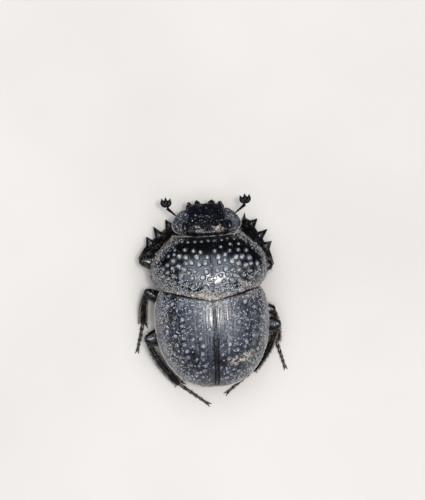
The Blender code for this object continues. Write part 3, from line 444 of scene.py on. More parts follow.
class Hairs(Shape):
    """Tapered curved hairs, gathered into one mesh."""

    def __init__(self):
        super().__init__()
        self.spots = []

    def grow(self, roots, aims, lengths, radius, places, bend=0.0, salt=0):
        """Add hairs. places are the spots, from 0 to 1 each way, that the roots have on an unwrap of
        the skin."""
        rng, count = np.random.default_rng(salt), len(roots)
        aims = unit(unit(aims) + rng.normal(0, HAIR_STRAY, (count, 3)))
        lengths = (lengths * rng.uniform(*HAIR_LENGTHS, count))[:, None, None]
        side = unit(np.cross(aims, rng.normal(0, 1, (count, 3))))
        up = np.cross(aims, side)
        fall = np.array([0.0, 0.0, -1.0]) * bend + side * rng.normal(0, HAIR_CURL, (count, 1))
        steps, slim = np.array([HAIR_STEPS, HAIR_SLIM])[..., None]
        line = roots[:, None] + aims[:, None] * (steps * lengths - HAIR_SUNK)
        line = line + fall[:, None] * steps**2 * lengths
        points = np.stack([
            line + (side * math.cos(turn) + up * math.sin(turn))[:, None] * slim * radius
            for turn in np.arange(4) % 3 * math.tau / 3
        ], 2)  # hair, step, turn
        index = self.count + np.arange(count * 16).reshape(count, 4, 4)
        self.count += count * 16
        self.points.append(points.reshape(-1, 3))
        self.marks.append({})
        self.quads(index[:, :-1, :-1], index[:, 1:, :-1], index[:, 1:, 1:], index[:, :-1, 1:])
        patch = np.stack(np.meshgrid(np.linspace(0, 1, 4), np.linspace(0, 1, 4)), -1) * HAIR_SPOT
        places = HAIR_EDGE + HAIR_SPREAD * places[:, None, None]
        self.spots.append((places + patch).reshape(-1, 2))

    def unwrapped(self):
        return np.concatenate(self.spots)


def added(name, data):
    """A new object of that data, in the scene."""
    made = bpy.data.objects.new(name, data)
    bpy.context.scene.collection.objects.link(made)
    return made


def ball(centre, radii, tilt=0.0, columns=64, rows=40):
    """An ellipsoid's points, tilted in radians about X, and their directions from its centre."""
    turn = np.linspace(0, math.tau, columns + 1)
    fall = np.linspace(0, math.pi, rows + 1)[:, None]
    turn[-1] = 0.0
    around = np.stack([
        np.sin(fall) * np.cos(turn), np.sin(fall) * np.sin(turn), np.cos(fall) + 0 * turn
    ], -1)
    around[0], around[-1] = (0, 0, 1), (0, 0, -1)
    c, s = math.cos(tilt), math.sin(tilt)
    turned = np.array([[1, 0, 0], [0, c, s], [0, -s, c]])
    return np.array(centre) + (around * radii) @ turned, unit(around / radii) @ turned


def tube(path, size, across=None, blunt=0.6, columns=36, rows=60, ridges=None):
    """A limb's points: size(share) gives its width and depth, across is the direction of its width, and
    ridges(share, turn) raises its surface. Gives the points, shares and turns."""
    path = np.array(path, float)
    plain = np.linspace(0.0, 1.0, rows + 1)
    share = 0.45 * plain + 0.55 * 0.5 * (1.0 - np.cos(plain * math.pi))
    middle, heading = through(path, share * (len(path) - 1))
    side = np.cross((0.0, 0.0, 1.0), path[-1] - path[0]) if across is None else np.array(across)
    flat = unit(side - heading * (heading @ side)[:, None])
    ring = (1.0 - np.abs(1.0 - 2.0 * share) ** (2.0 / blunt)) ** (blunt / 2.0)
    ring[0] = ring[-1] = 0.0
    turn = np.linspace(0, math.tau, columns + 1)
    turn[-1] = 0.0
    lift = 1.0 + ridges(share[:, None], turn[None, :]) if ridges else 1.0
    width, depth = size(share)
    wide = (ring * width / 2)[:, None] * np.cos(turn) * lift
    tall = (ring * depth / 2)[:, None] * np.sin(turn) * lift
    up = np.cross(heading, flat)
    points = middle[:, None] + flat[:, None] * wide[..., None] + up[:, None] * tall[..., None]
    return points, share, turn


def swollen(wide, ends, reach=1.0):
    """The size of a round segment, whose ends are a share of its width in the middle."""
    def size(share):
        shaped = wide * (ends + (1.0 - ends) * np.sin(share * math.pi * reach))
        return shaped, shaped

    return size


def link(line, spots, size, across=None, blunt=0.7, count=20):
    """A short tube along a curve of three points, through three spots from 0 to 1 on it."""
    return tube(through(line, np.array(spots) * 2)[0], size, across, blunt, count, count)


def cone(root, tip, radius, bend=(0.0, 0.0, 0.0), columns=12, rows=14):
    """A curved spine from root to tip, bowed at its middle by bend."""
    def size(share):
        wide = 2 * radius * (1.0 - share) ** 0.75 + 0.03 * (1.0 - share**6)
        return wide, wide

    return tube([root, (root + tip) / 2 + bend, tip], size, None, 0.3, columns, rows)[0]


def plate(loop, spine, height, top_rows, under_rows):
    """The upper and lower sheets of a plate. height(x, y, r, above) is its height, where r is 0 on the
    spine, a line between two points, and 1 at the edge."""
    start, end = np.array(spine, float)
    line = end - start
    reach = line @ line
    along = np.clip((loop - start) @ line / reach, 0, 1) if reach else np.zeros(len(loop))
    sheets = []
    for rows, above in ((top_rows, True), (under_rows, False)):
        r = np.sin(np.linspace(0.0, math.pi / 2, rows + 1))[:, None]
        foot = start + line * (0.5 + (along - 0.5) * np.minimum(1.0, r / 0.35))[..., None]
        flat = foot + (loop - foot) * r[..., None]
        z = height(flat[..., 0], flat[..., 1], r + 0 * along, above)
        sheets.append(np.concatenate([flat, z[..., None]], -1))
    return sheets


# ---------------------------------------------------------------- finishes


class Paint:
    """A material's nodes, added one call at a time."""

    def __init__(self, name):
        self.material = bpy.data.materials.new(name)
        self.material.use_nodes = True
        self.tree = self.material.node_tree
        self.tree.nodes.clear()
        where = self.node("ShaderNodeTexCoord").outputs["Object"]
        scaled = self.node("ShaderNodeVectorMath", {"operation": "SCALE"}, {0: where, "Scale": 1.0 / MM})
        self.where = scaled.outputs[0]

    def node(self, kind, settings=(), inputs=()):
        made = self.tree.nodes.new(kind)
        for key, value in dict(settings).items():
            setattr(made, key, value)
        for key, value in dict(inputs).items():
            if isinstance(value, bpy.types.NodeSocket):
                self.tree.links.new(value, made.inputs[key])
            else:
                made.inputs[key].default_value = value
        return made

    def maths(self, operation, a, b, clamp=True):
        settings = {"operation": operation, "use_clamp": clamp}
        return self.node("ShaderNodeMath", settings, {0: a, 1: b}).outputs[0]

    def times(self, a, b):
        return self.maths("MULTIPLY", a, b, False)

    def noise(self, scale, detail=3.0, rough=0.55):
        inputs = {"Vector": self.where, "Scale": scale, "Detail": detail, "Roughness": rough}
        return self.node("ShaderNodeTexNoise", {}, inputs).outputs["Fac"]

    def cells(self, scale, output="Distance"):
        inputs = {"Vector": self.where, "Scale": scale}
        return self.node("ShaderNodeTexVoronoi", {}, inputs).outputs[output]

    def between(self, value, low, high, to_low=0.0, to_high=1.0):
        inputs = {0: value, 1: low, 2: high, 3: to_low, 4: to_high}
        return self.node("ShaderNodeMapRange", {"interpolation_type": "SMOOTHSTEP"}, inputs).outputs[0]

    def mark(self, name):
        return self.node("ShaderNodeAttribute", {"attribute_name": name}).outputs["Fac"]

    def mix(self, share, a, b):
        a, b = (v if isinstance(v, bpy.types.NodeSocket) else (*v, 1.0) for v in (a, b))
        return self.node("ShaderNodeMix", {"data_type": "RGBA"}, {0: share, 6: a, 7: b}).outputs[2]

    def finish(self, colour, roughness, bumps, plain=()):
        inputs = {"Base Color": colour, "Roughness": roughness, **dict(plain)}
        for height, distance, strength in bumps:
            bump = {"Height": height, "Distance": distance * MM, "Strength": strength}
            if "Normal" in inputs:
                bump["Normal"] = inputs["Normal"]
            inputs["Normal"] = self.node("ShaderNodeBump", {}, bump).outputs[0]
        shader = self.node("ShaderNodeBsdfPrincipled", {}, inputs)
        self.node("ShaderNodeOutputMaterial", {}, {"Surface": shader.outputs[0]})
        return self.material


def chitin(
    name, deep, pale, polish, speckle=0.15, coat=0.3, bump=0.5, mottle=0.5, ior=1.55, grit=(6.3, 1.0)
):
    """Dark insect shell with pits, grains, rims and dust where the mesh's marks say; the pit mark also
    carries a painted sheen on the head's cheeks, and the rim mark painted highlights on the tibiae's
    ridges. polish is its lowest and highest roughness, speckle is how much dust lies all over, mottle
    is how strongly its two colours are broken up, and grit is its grains to the millimetre and how
    pale they are."""
    paint = Paint(name)
    times, between, mix = paint.times, paint.between, paint.mix
    blotch, fine = paint.noise(2.6, 4.0, 0.7), paint.noise(8.0, 4.0, 0.65)
    pits, dust, grain, rim, gloss = (paint.mark(k) for k in ("pit", "dust", "grain", "rim", "gloss"))

    even = paint.maths("ADD", times(between(blotch, 0.42, 0.62), mottle), 1.0 - mottle, False)
    share = times(even, between(paint.noise(0.45), 0.36, 0.6, 0.25, 1.0))
    colour = mix(times(share, between(fine, 0.4, 0.6, 0.15, 1.0)), deep, pale)
    seed = paint.node("ShaderNodeSeparateColor", {}, {0: paint.cells(grit[0], "Color")}).outputs
    present = between(paint.maths("SUBTRACT", grain, seed[0], False), -0.04, 0.06)
    caps = times(present, between(paint.cells(grit[0]), 0.32, 0.52, 1.0, 0.0))
    sandy = mix(between(paint.noise(1.6), 0.5, 0.62), GRAIN_GREY, GRAIN_TAN)
    sandy = mix(between(seed[1], 0.0, 1.0, 0.0, 0.75), sandy, GRAIN_DARK)
    colour = mix(times(caps, grit[1]), colour, sandy)
    # the pit colour also paints the sheen on the head's cheeks
    colour = mix(times(pits, between(paint.noise(6.0), 0.3, 0.7, 0.55, 1.0)), colour, PIT_AND_SHEEN_GREY)
    # the rim colour also paints highlight streaks on the tibiae's ridges
    colour = mix(rim, colour, RIM)
    flecks = times(between(paint.noise(5.0, 5.0, 0.75), 0.57, 0.66), speckle)
    film = times(dust, between(paint.noise(3.0, 5.0, 0.7), 0.38, 0.6))
    cover = paint.maths("ADD", flecks, film)
    earth = mix(paint.noise(2.2, 2.0), tuple(0.55 * c for c in DUST), DUST)
    colour = mix(cover, colour, earth)

    rough = between(blotch, 0.35, 0.7, *polish)
    for share, add in ((gloss, -0.14), (pits, 0.35), (cover, 0.4), (caps, 0.3), (rim, 0.1)):
        rough = paint.maths("ADD", rough, times(share, add))
    calm = paint.maths("SUBTRACT", 1.0, gloss)
    bumps = (
        (times(paint.noise(4.5, 2.0), calm), 0.05, bump), (times(fine, calm), 0.02, bump * 0.6),
        (cover, 0.03, 0.6), (caps, 0.05, 0.9),
    )
    return paint.finish(
        colour, rough, bumps, {"IOR": ior, "Coat Weight": coat, "Coat Roughness": 0.2}
    )


def eye_finish():
    paint = Paint("eye_facets")
    facets = paint.cells(9.0)
    colour = paint.mix(paint.between(facets, 0.1, 0.6), (0.014, 0.008, 0.005), (0.004, 0.003, 0.002))
    rough = paint.between(facets, 0.1, 0.7, 0.15, 0.35)
    return paint.finish(colour, rough, ((facets, 0.03, 0.7),), {"IOR": 1.5, "Coat Weight": 0.3})


def bristle_finish(name, dark, light):
    paint = Paint(name)
    fine = paint.noise(14.0, 2.0, 0.5)
    colour = paint.mix(paint.between(paint.noise(1.6, 2.0), 0.46, 0.62), dark, light)
    rough = paint.between(fine, 0.3, 0.7, 0.35, 0.6)
    return paint.finish(colour, rough, ((fine, 0.01, 0.4),), {"IOR": 1.55})


def floor_finish():
    paint = Paint("pale_floor")
    fine = paint.noise(2.5)
    cloud = paint.between(paint.noise(0.02), 0.3, 0.7)
    colour = paint.mix(cloud, (0.50, 0.455, 0.40), (0.54, 0.495, 0.44))
    rough = paint.between(fine, 0.3, 0.7, 0.75, 0.9)
    return paint.finish(colour, rough, ((fine, 0.02, 0.15),), {"IOR": 1.4})


def flag_finish():
    """A black card, which the shell's front mirrors."""
    paint = Paint("black_card")
    cloth = paint.noise(3.0, 2.0)
    colour = paint.mix(cloth, (0.003, 0.003, 0.003), (0.005, 0.005, 0.006))
    return paint.finish(colour, paint.between(cloth, 0.3, 0.7, 0.9, 1.0), ((cloth, 0.02, 0.2),))


# ---------------------------------------------------------------- wing cases


def dome_half_width(y):
    ahead = np.clip((y - WIDEST_Y) / (DOME_FRONT_Y - WIDEST_Y), 0.0, 1.1)
    behind = np.clip((WIDEST_Y - y) / (WIDEST_Y - DOME_REAR_Y), 0.0, 1.0)
    rear = (1.0 - behind**2.2) ** (1 / 2.3)
    return DOME_HALF_WIDTH * np.where(y > WIDEST_Y, 1.0 - 0.123 * ahead**2.65, rear)


def dome_margin(y):
    t = np.maximum(0.0, (WIDEST_Y - y) / (WIDEST_Y - DOME_REAR_Y))
    return DOME_MARGIN_Z + 0.55 * t * t


def dome_top(y):
    ahead = np.maximum(0.0, (y - DOME_TOP_Y) / (DOME_FRONT_Y - DOME_TOP_Y))
    behind = np.clip((DOME_TOP_Y - y) / (DOME_TOP_Y - DOME_REAR_Y), 0.0, 1.0)
    low = dome_margin(y)
    rear = low + (DOME_TOP_Z - low) * (1.0 - behind**2.25) ** (1 / 2.05)
    return np.where(y > DOME_TOP_Y, DOME_TOP_Z - 0.4 * ahead**2, rear)


def base_y(x):
    return BASE_MIDDLE_Y + 0.83 * (np.abs(x) / 3.5) ** 1.13


def arch(turn):
    """Across and up on the square-shouldered arch, for a turn from its top."""
    return signed(np.sin(turn), 2 / ARCH_POWER), signed(np.cos(turn), 2 / ARCH_POWER)


def arch_turns(first, last, count, wide, tall):
    """Turns that step evenly along an arch of that width and height."""
    return evenly(lambda turn: np.stack(arch(turn), -1) * (wide, tall), first, last, count)


def wing_surface(turn, reach):
    broad, tall = arch(turn)
    start = base_y(float(dome_half_width(0.0)) * broad) - 0.1
    y = start + (DOME_REAR_Y - start) * np.sin(reach * math.pi / 2)
    x = 0.05 + (dome_half_width(y) - 0.05) * broad
    low = dome_margin(y)
    return np.stack([x, y, low + (dome_top(y) - low) * tall], -1)


def wing_case(side, finish):
    rng = np.random.default_rng(31 + side)
    columns, rows, salt = 201, 231, 40 + side
    turns = arch_turns(0.0, math.radians(92.5), columns, 7.7, 5.8)
    middle = math.radians(35.0)
    reach = evenly(lambda t: wing_surface(np.full_like(t, middle), t), 0.0, 1.0, rows)
    plain = wing_surface(turns[None, :], reach[:, None])
    out = outward(plain, (3.0, -5.0, 3.0))
    out[-1] = (0.0, -1.0, 0.0)
    across, from_base = run_along(plain, 1), run_along(plain, 0)
    width = np.maximum(across[:, -1:], 1e-3)
    share, from_edge, to_tip = across / width, width - across, from_base[-1:] - from_base
    x, y = plain[..., 0], plain[..., 1]
    patchy = noise(plain, 1.6, salt)

    pits = []
    for interval in range(INTERVALS):
        column = int((interval + 0.5) / INTERVALS * (columns - 1))
        at = rng.uniform(0.5, 1.2)
        while at < from_base[-1, column] - 0.7:
            row = int(np.searchsorted(from_base[:, column], at + rng.uniform(-0.18, 0.18)))
            shift = int(rng.normal(0, 0.1) / max(width[row, 0], 0.5) * columns)
            spot = plain[row, np.clip(column + shift, 0, columns - 1)]
            sparse = 0.55 if interval == 0 else 0.12
            sparse += 0.3 * bell(spot[1] + 3.0, 2.5) * (interval < 3)
            if rng.uniform() > sparse and width[row, 0] > 2.5:
                radius = rng.uniform(0.2, 0.31)
                faint = 0.58 if spot[1] < -5.0 or spot[0] > 4.0 else 0.42
                pits.append((*spot, radius, faint * rng.uniform(0.4, 1.1)))
            at += rng.uniform(0.75, 1.1)
    pits = np.array(pits)
    near, strong = nearest_pit(plain, pits[spaced(pits[:, :3], np.full(len(pits), 0.62))])
    floor = smooth(1.1, 0.55, near + 0.8 * (noise(plain, 0.25, salt + 2) - 0.5))

    place = share * INTERVALS
    inner = smooth(0.5, 1.0, place) * smooth(0.4, 0.8, INTERVALS - place)
    striae = bell(np.abs(place - np.round(place)) * width / INTERVALS, 0.07) * inner
    cleft = smooth(4.3, 6.5, from_base)
    furrow = bell(across - 0.32 + 0.15 * cleft, 0.13 - 0.03 * cleft)
    margin = np.minimum(from_edge, to_tip + 0.05)
    inset = dome_half_width(y) - x
    rough_zone = np.maximum.reduce([
        smooth(1.9, 0.6, inset + 0.9 * (patchy - 0.5)),
        0.6 * smooth(1.3, 0.3, from_base + patchy - 0.5),
        0.7 * smooth(2.5, 0.5, to_tip + patchy),
    ])
    lump = lumps(plain, 0.3, salt, 0.15, 0.65)
    fold = bell(x - 6.15, 0.26) * smooth(-2.0, -1.1, y)
    combed = np.cos(across * math.tau / 0.36) * bell(across, 1.7)
    shoulder = bell(x - 5.2, 0.8) * bell(y + 0.9, 0.9)
    waves = noise(plain, 2.4, salt + 5) - 0.5
    polished = bell(across, 2.0) * bell(y + 3.6, 3.0)

    lift = 0.04 * smooth(0.2, 0.1, across) - (0.04 + 0.26 * cleft) * furrow - 0.018 * striae
    lift += 0.15 * smooth(0.2, 0.1, margin) - 0.05 * bell(from_edge - 0.34, 0.12)
    lift += 0.012 * bell(near - 1.2, 0.16) - 0.055 * floor
    lift += 0.055 * lump * np.clip(rough_zone + 0.4 - 0.35 * polished, 0, 1) * (1.0 - 0.7 * floor)
    lift += 0.1 * shoulder - 0.3 * fold + 0.05 * waves + 0.016 * combed
    outer = plain + out * (lift * smooth(0.0, 0.5, to_tip))[..., None]
    outer[..., 0] = np.maximum(outer[..., 0], 0.04)

    pale_arc = bell(y + 9.3 - 0.085 * np.maximum(x - 1.6, 0.0) ** 2, 0.42)
    pale_arc *= smooth(1.2, 2.4, x) * smooth(5.4, 4.9, x) * (side > 0)
    dust = 0.95 * pale_arc * patches(plain, 0.4, salt + 9, 0.38, 0.56)
    dust += 0.25 * rough_zone * patches(plain, 0.8, salt + 3, 0.55, 0.75)
    dust += 0.7 * bell(across, 0.5) * bell(from_base, 0.35)
    dust += 0.35 * smooth(1.5, 0.2, from_base) * smooth(0.5, 0.7, patchy)
    dust += bell(across, 0.04) * (0.3 + 0.3 * smooth(4.0, 6.5, from_base))
    # fewer pale grains and pits beside the suture towards the rear
    sparse_and_shaded = 1.5 * bell(across, 0.55) * smooth(5.5, 7.5, from_base)
    # painted shade: on the left wing case, a patch beside the suture towards the rear loses its pale
    # grains and shows darker
    if side < 0:
        sparse_and_shaded += bell(across - 1.6, 1.8) * bell(y + 6.9, 1.7)
    # painted shade: dust, grains and pits are left off the wing case's first strip at its base, so the
    # seam with the pronotum shows dark
    clear_of_seam_shade = smooth(0.06, 0.2, from_base + 0.1 * (noise(plain, 0.3, salt + 14) - 0.5))
    pale = 0.76 * strong * floor + 0.12 * patches(plain, 0.42, salt + 12, 0.60, 0.72)
    grain = 0.15 + rough_zone * (0.5 + 0.5 * lump) + 0.5 * floor * strong + 0.2 * (patchy - 0.5)
    marks = {
        "pit": clear_of_seam_shade * pale * np.clip(1.0 - 0.7 * sparse_and_shaded * (across < 1.0), 0, 1),
        "dust": clear_of_seam_shade * np.clip(dust, 0, 1),
        "grain": clear_of_seam_shade * np.clip(grain - 0.12 * polished - 0.3 * sparse_and_shaded, 0, 1),
        "gloss": bell(across, 1.2, 4) * bell(y + 4.1, 2.6, 4) + fold,
        "rim": 0.9 * smooth(0.25, 0.14, margin) * patches(plain, 0.6, 3, 0.2, 0.5),
    }

    ring = (slice(None), slice(None, None, 20))
    inside = outer[ring] - out[ring] * CASE_THICKNESS
    inside[-1] = inside[-2]
    outer[..., 0] *= side
    inside[..., 0] *= side
    shape = Shape()
    skin = shape.sheet(outer, **marks)
    lining = shape.sheet(inside)
    shape.quads(skin[:-1, 0], skin[1:, 0], lining[1:, 0], lining[:-1, 0])
    shape.quads(skin[1:, -1], skin[:-1, -1], lining[:-1, -1], lining[1:, -1])
    shape.faces[1:] = [faces[:, ::-1] for faces in shape.faces[1:]]
    shape.bridge(skin[0], lining[0])
    name = SIDES[side]
    shape.close().make(f"elytron_shell_{name}", "wing_case", finish, f"elytron_{name}", 55)


# ---------------------------------------------------------------- pronotum


def on_shield(x, share, z):
    """Points between the pronotum's front edge and its base."""
    front = SHIELD_FRONT_Y + SHIELD_HOLLOW * (x / SHIELD_HALF_WIDTH[0][1]) ** 2 * (1.0 - share)
    return np.stack([x, front + (base_y(x) - front) * share, z], -1)


def shield_surface(share, turn):
    lines = SHIELD_HALF_WIDTH, SHIELD_MARGIN_Z, SHIELD_TOP_Z
    half, low, top = (spline(line, share) for line in lines)
    broad, tall = arch(turn)
    return on_shield(half * broad, share, low + (top - low) * tall)


def shield_underside(share, columns):
    w = np.linspace(-1.0, 1.0, columns)
    w = np.sign(w) * (1.0 - (1.0 - np.abs(w)) ** 1.5)
    half, low = (spline(line, share) for line in (SHIELD_HALF_WIDTH, SHIELD_MARGIN_Z))
    x = half * w
    inside = half - np.abs(x)
    step = 0.1 * (1.0 - np.exp(-inside / 0.1))
    return on_shield(x, share, low - step + (SHIELD_FLOOR_Z - low) * smooth(0.1, 1.7, inside))


def capped(edge, centre, steps):
    """Rows that lead from an edge inwards to a centre, each with its inset and its shift along Y."""
    aim = (0.0, 0.0, centre[2]) - edge
    aim[:, 1] = 0.0
    rows = [edge + unit(aim) * inset + (0.0, shift, 0.0) for inset, shift in steps]
    return np.stack([edge, *rows, np.broadcast_to(centre, edge.shape)])


def pronotum(finish):
    rng = np.random.default_rng(11)
    columns, rows, tries = 401, 181, 9000
    turns = arch_turns(-math.pi / 2, math.pi / 2, columns, 7.8, 5.5)
    share = evenly(lambda s: shield_surface(s, np.full_like(s, 0.35)), 0.0, 1.0, rows)
    plain = shield_surface(share[:, None], turns[None, :])
    out = outward(plain, (0.0, 3.5, 5.0))
    run, front = run_along(plain, 1), run_along(plain, 0)
    rear = front[-1:] - front
    x, y = plain[..., 0], plain[..., 1]
    inset = x[:, -1:] - np.abs(x)
    ahead = shield_surface(np.zeros_like(x), turns[None, :] + 0 * x)[..., 1] - y
    patchy = noise(plain, 1.4, 5)

    picked = rng.integers(0, rows, tries), rng.integers(0, columns, tries)
    spots, fore, aft, flank = (line[picked] for line in (plain, ahead, rear, inset))
    bare = bell(spots[:, 0], 1.5, 4) * smooth(2.6, 1.9, fore)
    clear = 1.25 + 0.75 * (spots[:, 0] > 0.0) * (fore < 4.2)
    wanted = (flank > clear) & (fore > 0.95) & (aft > 0.5) & (rng.uniform(0, 1, tries) > 1.02 * bare)
    gaps = 0.68 + 0.3 * smooth(2.8, 1.3, fore) + rng.uniform(0, 0.4, tries)
    row_x = np.arange(-4.4, 4.5, 0.86) + rng.uniform(-0.16, 0.16, 11)
    first_row = np.array([  # a row of small pits just behind the front edge
        plain[np.argmin(np.abs(ahead[:, c] - rng.uniform(0.5, 0.72))), c]
        for c in np.argmin(np.abs(x[20] - row_x[:, None]), axis=1)
    ])
    spots = np.vstack([first_row, spots[wanted]])
    gaps = np.concatenate([np.full(len(first_row), 0.5), gaps[wanted]])
    radii = np.concatenate([np.full(len(first_row), 0.2), 0.23 + 0.15 * smooth(1.2, 3.6, fore[wanted])])
    kept = spaced(spots, gaps)
    spots, count = spots[kept], len(kept)
    radii = radii[kept] * rng.uniform(0.75, 1.15, count)
    strengths = rng.uniform(0.6, 1.0, count) * (1.0 - 0.42 * smooth(3.0, 6.2, 8.0 - spots[:, 1]))
    # painted shade: pits are painted dimmer round the spot where the key light's highlight falls
    strengths *= 1.0 - 0.75 * bell(spots[:, 0] - 0.4, 1.3) * bell(spots[:, 1] - 2.2, 1.1)
    strengths *= 1.0 - 0.25 * smooth(2.6, 1.6, spots[:, 1])
    near, strong = nearest_pit(plain, np.column_stack([spots, radii, strengths]))
    ragged = near + 0.5 * (noise(plain, 0.22, 27) - 0.5)
    floor, pale, lip = smooth(1.05, 0.6, ragged), smooth(0.98, 0.5, ragged), bell(near - 1.18, 0.15)

    corner = smooth(0.85, 0.3, ahead + 0.5 * (patchy - 0.5)) * smooth(2.6, 4.4, np.abs(x))
    rough_zone = smooth(1.5, 1.05, inset + 0.7 * (patchy - 0.5) + 0.35 * (x > 0))
    rough_zone = np.maximum(rough_zone, corner)
    hind = smooth(1.2, 0.35, rear + 0.8 * (patchy - 0.5))
    lump, sand = lumps(plain, 0.33, 8, 0.15, 0.62), lumps(plain, 0.16, 18, 0.1, 0.7)
    margin = np.minimum(np.minimum(run, run[:, -1:] - run), front)
    edge = smooth(0.18, 0.09, margin)
    glow = bell(x - 0.35, 0.9, 4) * bell(y - 2.1, 1.3, 4)
    lift = (1.0 - 0.6 * glow) * (0.016 * lip - 0.1 * floor) + 0.1 * edge - 0.04 * bell(margin - 0.3, 0.1)
    lift += 0.04 * (noise(plain, 2.6, 25) - 0.8) - 0.05 * bell(x, 0.12) * smooth(3.0, 5.0, front)
    lift += 0.12 * lump * rough_zone + 0.02 * sand * np.clip(rough_zone + 0.7 * hind, 0, 1)
    outer = plain + out * (lift * smooth(0.0, 0.1, rear))[..., None]

    lifted = smooth(4.5, 7.0, front)
    sanded = smooth(2.4, 1.2, rear + patchy - 0.5) * smooth(6.5, 4.5, np.abs(x + 0.4))
    middle_dust = bell(x + 0.6, 1.5) * smooth(1.5, 0.4, rear)
    dust = 0.8 * middle_dust + 0.45 * hind * patchy
    dust += 0.2 * rough_zone * patches(plain, 0.7, 15, 0.5, 0.7)
    dust += 0.4 * sanded * patches(plain, 0.45, 17, 0.45, 0.6)
    dust += 0.35 * lip * lifted * patches(plain, 0.6, 16, 0.45, 0.7)
    dust += 0.5 * strong * pale * patches(plain, 1.1, 13, 0.52, 0.68)
    # painted shade: dust and grains are left off the pronotum's last strip at its base, so the seam with
    # the wing cases shows dark
    clear_of_seam_shade = smooth(0.05, 0.18, rear + 0.12 * (noise(plain, 0.3, 14) - 0.5))
    bright = strong * pale * (0.58 + 0.6 * bell(near, 0.4)) * (1.0 - 0.7 * rough_zone)
    grain = rough_zone * (0.34 + 0.12 * (x > 0) + 0.5 * lump) + 0.45 * middle_dust + 0.46 * sanded
    grain += 0.16 * np.maximum(hind, lifted * smooth(1.0, 4.0, np.abs(x))) + 0.3 * lip * lifted
    marks = {
        "pit": bright + 0.1 * lip * (1.0 - lifted),
        "dust": clear_of_seam_shade * np.clip(dust, 0, 1),
        "grain": clear_of_seam_shade * np.clip(grain, 0, 1),
        "rim": 0.3 * edge * patches(plain, 0.6, 19, 0.25, 0.55),
        "gloss": 0.6 * glow,
    }

    under = shield_underside(share[:, None], 61)
    under[:, 0], under[:, -1] = outer[:, 0], outer[:, -1]
    shape = Shape()
    shape.sheet(outer, **marks)
    shape.sheet(under[:, ::-1], grain=0.25)
    neck = ((0.10, 0.02), (0.2, -0.06), (0.34, -0.4), (0.5, -1.7))
    nape = ((0.12, 0.0), (0.3, 0.12), (0.9, 0.35))
    for row, centre, steps, way in ((0, (0.0, 5.6, 5.9), neck, -1), (-1, (0.0, -0.6, 6.5), nape, 1)):
        for line in (outer[row], under[row, ::-1]):
            shape.sheet(capped(line, centre, steps)[:, ::way], grain=0.2)
    shape.close().make("pronotum_shield", "shell", finish, "pronotum", 60)


# ---------------------------------------------------------------- head


def swell(r, flatness, steepness):
    return np.maximum(0.0, 1.0 - np.minimum(r, 1.0) ** flatness) ** (1 / steepness)


def from_head(points):
    """Points in the head's own plane, in the body's frame."""
    c, s = math.cos(HEAD_TILT), math.sin(HEAD_TILT)
    x, y, z = points[..., 0], points[..., 1], points[..., 2]
    return HEAD_HINGE + np.stack([x, y * c + z * s, z * c - y * s], -1)


def head(finish):
    """The head's plate. Gives the loop of its edge, in its own plane."""
    loop = loop_through(HEAD_OUTLINE, 720, True, 0.05)
    centre = (0.0, HEAD_CENTRE_Y)

    def height(x, y, r, above):
        ahead = y - HEAD_CENTRE_Y
        middle = np.hypot(x / 4.9, ahead / np.where(ahead > 0, 3.2, 5.5))
        if above:
            z = HEAD_EDGE + HEAD_DOME * swell(middle, 2.2, 1.5)
        else:
            z = -HEAD_EDGE - HEAD_DEPTH * swell(middle * 1.1, 2.4, 1.6)
        return z * (1.0 - r**26)

    top, under = plate(loop, (centre, centre), height, 84, 24)
    x, y = top[..., 0], top[..., 1]
    run = run_along(top, 0)
    to_edge = run[-1:] - run
    out = outward(top, (0.0, HEAD_CENTRE_Y, -2.0), wrap=True)
    aside = np.abs(x)
    slant = aside + 0.16 * (y - 2.0)
    gena = smooth(2.3, 2.95, slant) * smooth(4.1, 3.6, y - 0.35 * (aside - 2.8))
    suture = bell(slant - 2.5, 0.09) * smooth(3.9, 3.4, y)
    vertex = smooth(1.6, 0.5, y)
    knobs = bell(aside - 1.4, 0.62) * bell(y - 0.1, 0.42)
    lump, sand = lumps(top, 0.4, 61, 0.05, 0.7, 0.35), lumps(top, 0.17, 71, 0.1, 0.7)
    rim, gutter = smooth(0.22, 0.10, to_edge), bell(to_edge - 0.38, 0.14)
    ridge = bell(y - 2.2 - 0.10 * x**2, 0.22) * smooth(2.2, 1.4, aside)
    clypeus = (1.0 - gena) * (1.0 - vertex)
    lift = 0.14 * lump * clypeus + 0.05 * sand * np.clip(gena + vertex, 0, 1) - 0.12 * suture
    lift += (0.1 * rim - 0.06 * gutter) * (1.0 - vertex) + 0.12 * knobs * (1.0 + 0.5 * lump)
    lift = (lift + 0.09 * ridge) * (1.0 - 0.8 * smooth(0.05, 0.0, to_edge))
    top = top + out * lift[..., None]
    top[-1] = under[-1]
    patchy = patches(top, 0.3, 65, 0.45, 0.56)
    marks = {
        "dust": np.clip(1.3 * knobs * patchy * smooth(-0.9, -0.2, y), 0, 1),
        "grain": np.clip(0.3 * gena + 0.12 * clypeus * patches(top, 0.8, 66, 0.5, 0.7), 0, 1),
        "rim": np.clip((0.4 * gena + 0.12 * clypeus * patchy) * rim, 0, 1),
        # painted sheen: a faint pale blue-grey film on the cheeks, laid on with the pit colour
        "pit": gena * (0.04 + 0.09 * patches(top, 0.5, 67, 0.35, 0.65)),
    }
    shape = Shape()
    shape.sheet(from_head(top), **marks)
    shape.sheet(from_head(under)[:, ::-1], grain=0.1)
    shape.close().make("head_plate", "head_shell", finish, "head", 65)
    return loop


def eyes(finish):
    for side, name in SIDES.items():
        centre = from_head(np.array(EYE_PLACE) * (side, 1, 1))
        lens = Shape().body(ball(centre, EYE_RADII, -HEAD_TILT)[0])
        lens.make(f"eye_lens_{name}", "eye", finish, f"eye_{name}")


# ---------------------------------------------------------------- feelers and mouthparts


def leaf_size(share):
    """The width and depth of a leaf of a feeler's club."""
    wide = 0.30 + 0.4 * np.sin(np.clip(share * 1.15, 0, 1) * math.pi) ** 0.8
    wide = np.maximum(wide * (1.0 - 0.45 * smooth(0.55, 1.0, share)), 0.12)
    return wide, CLUB_DEPTH * (0.8 + 0.25 * np.sin(share * math.pi))


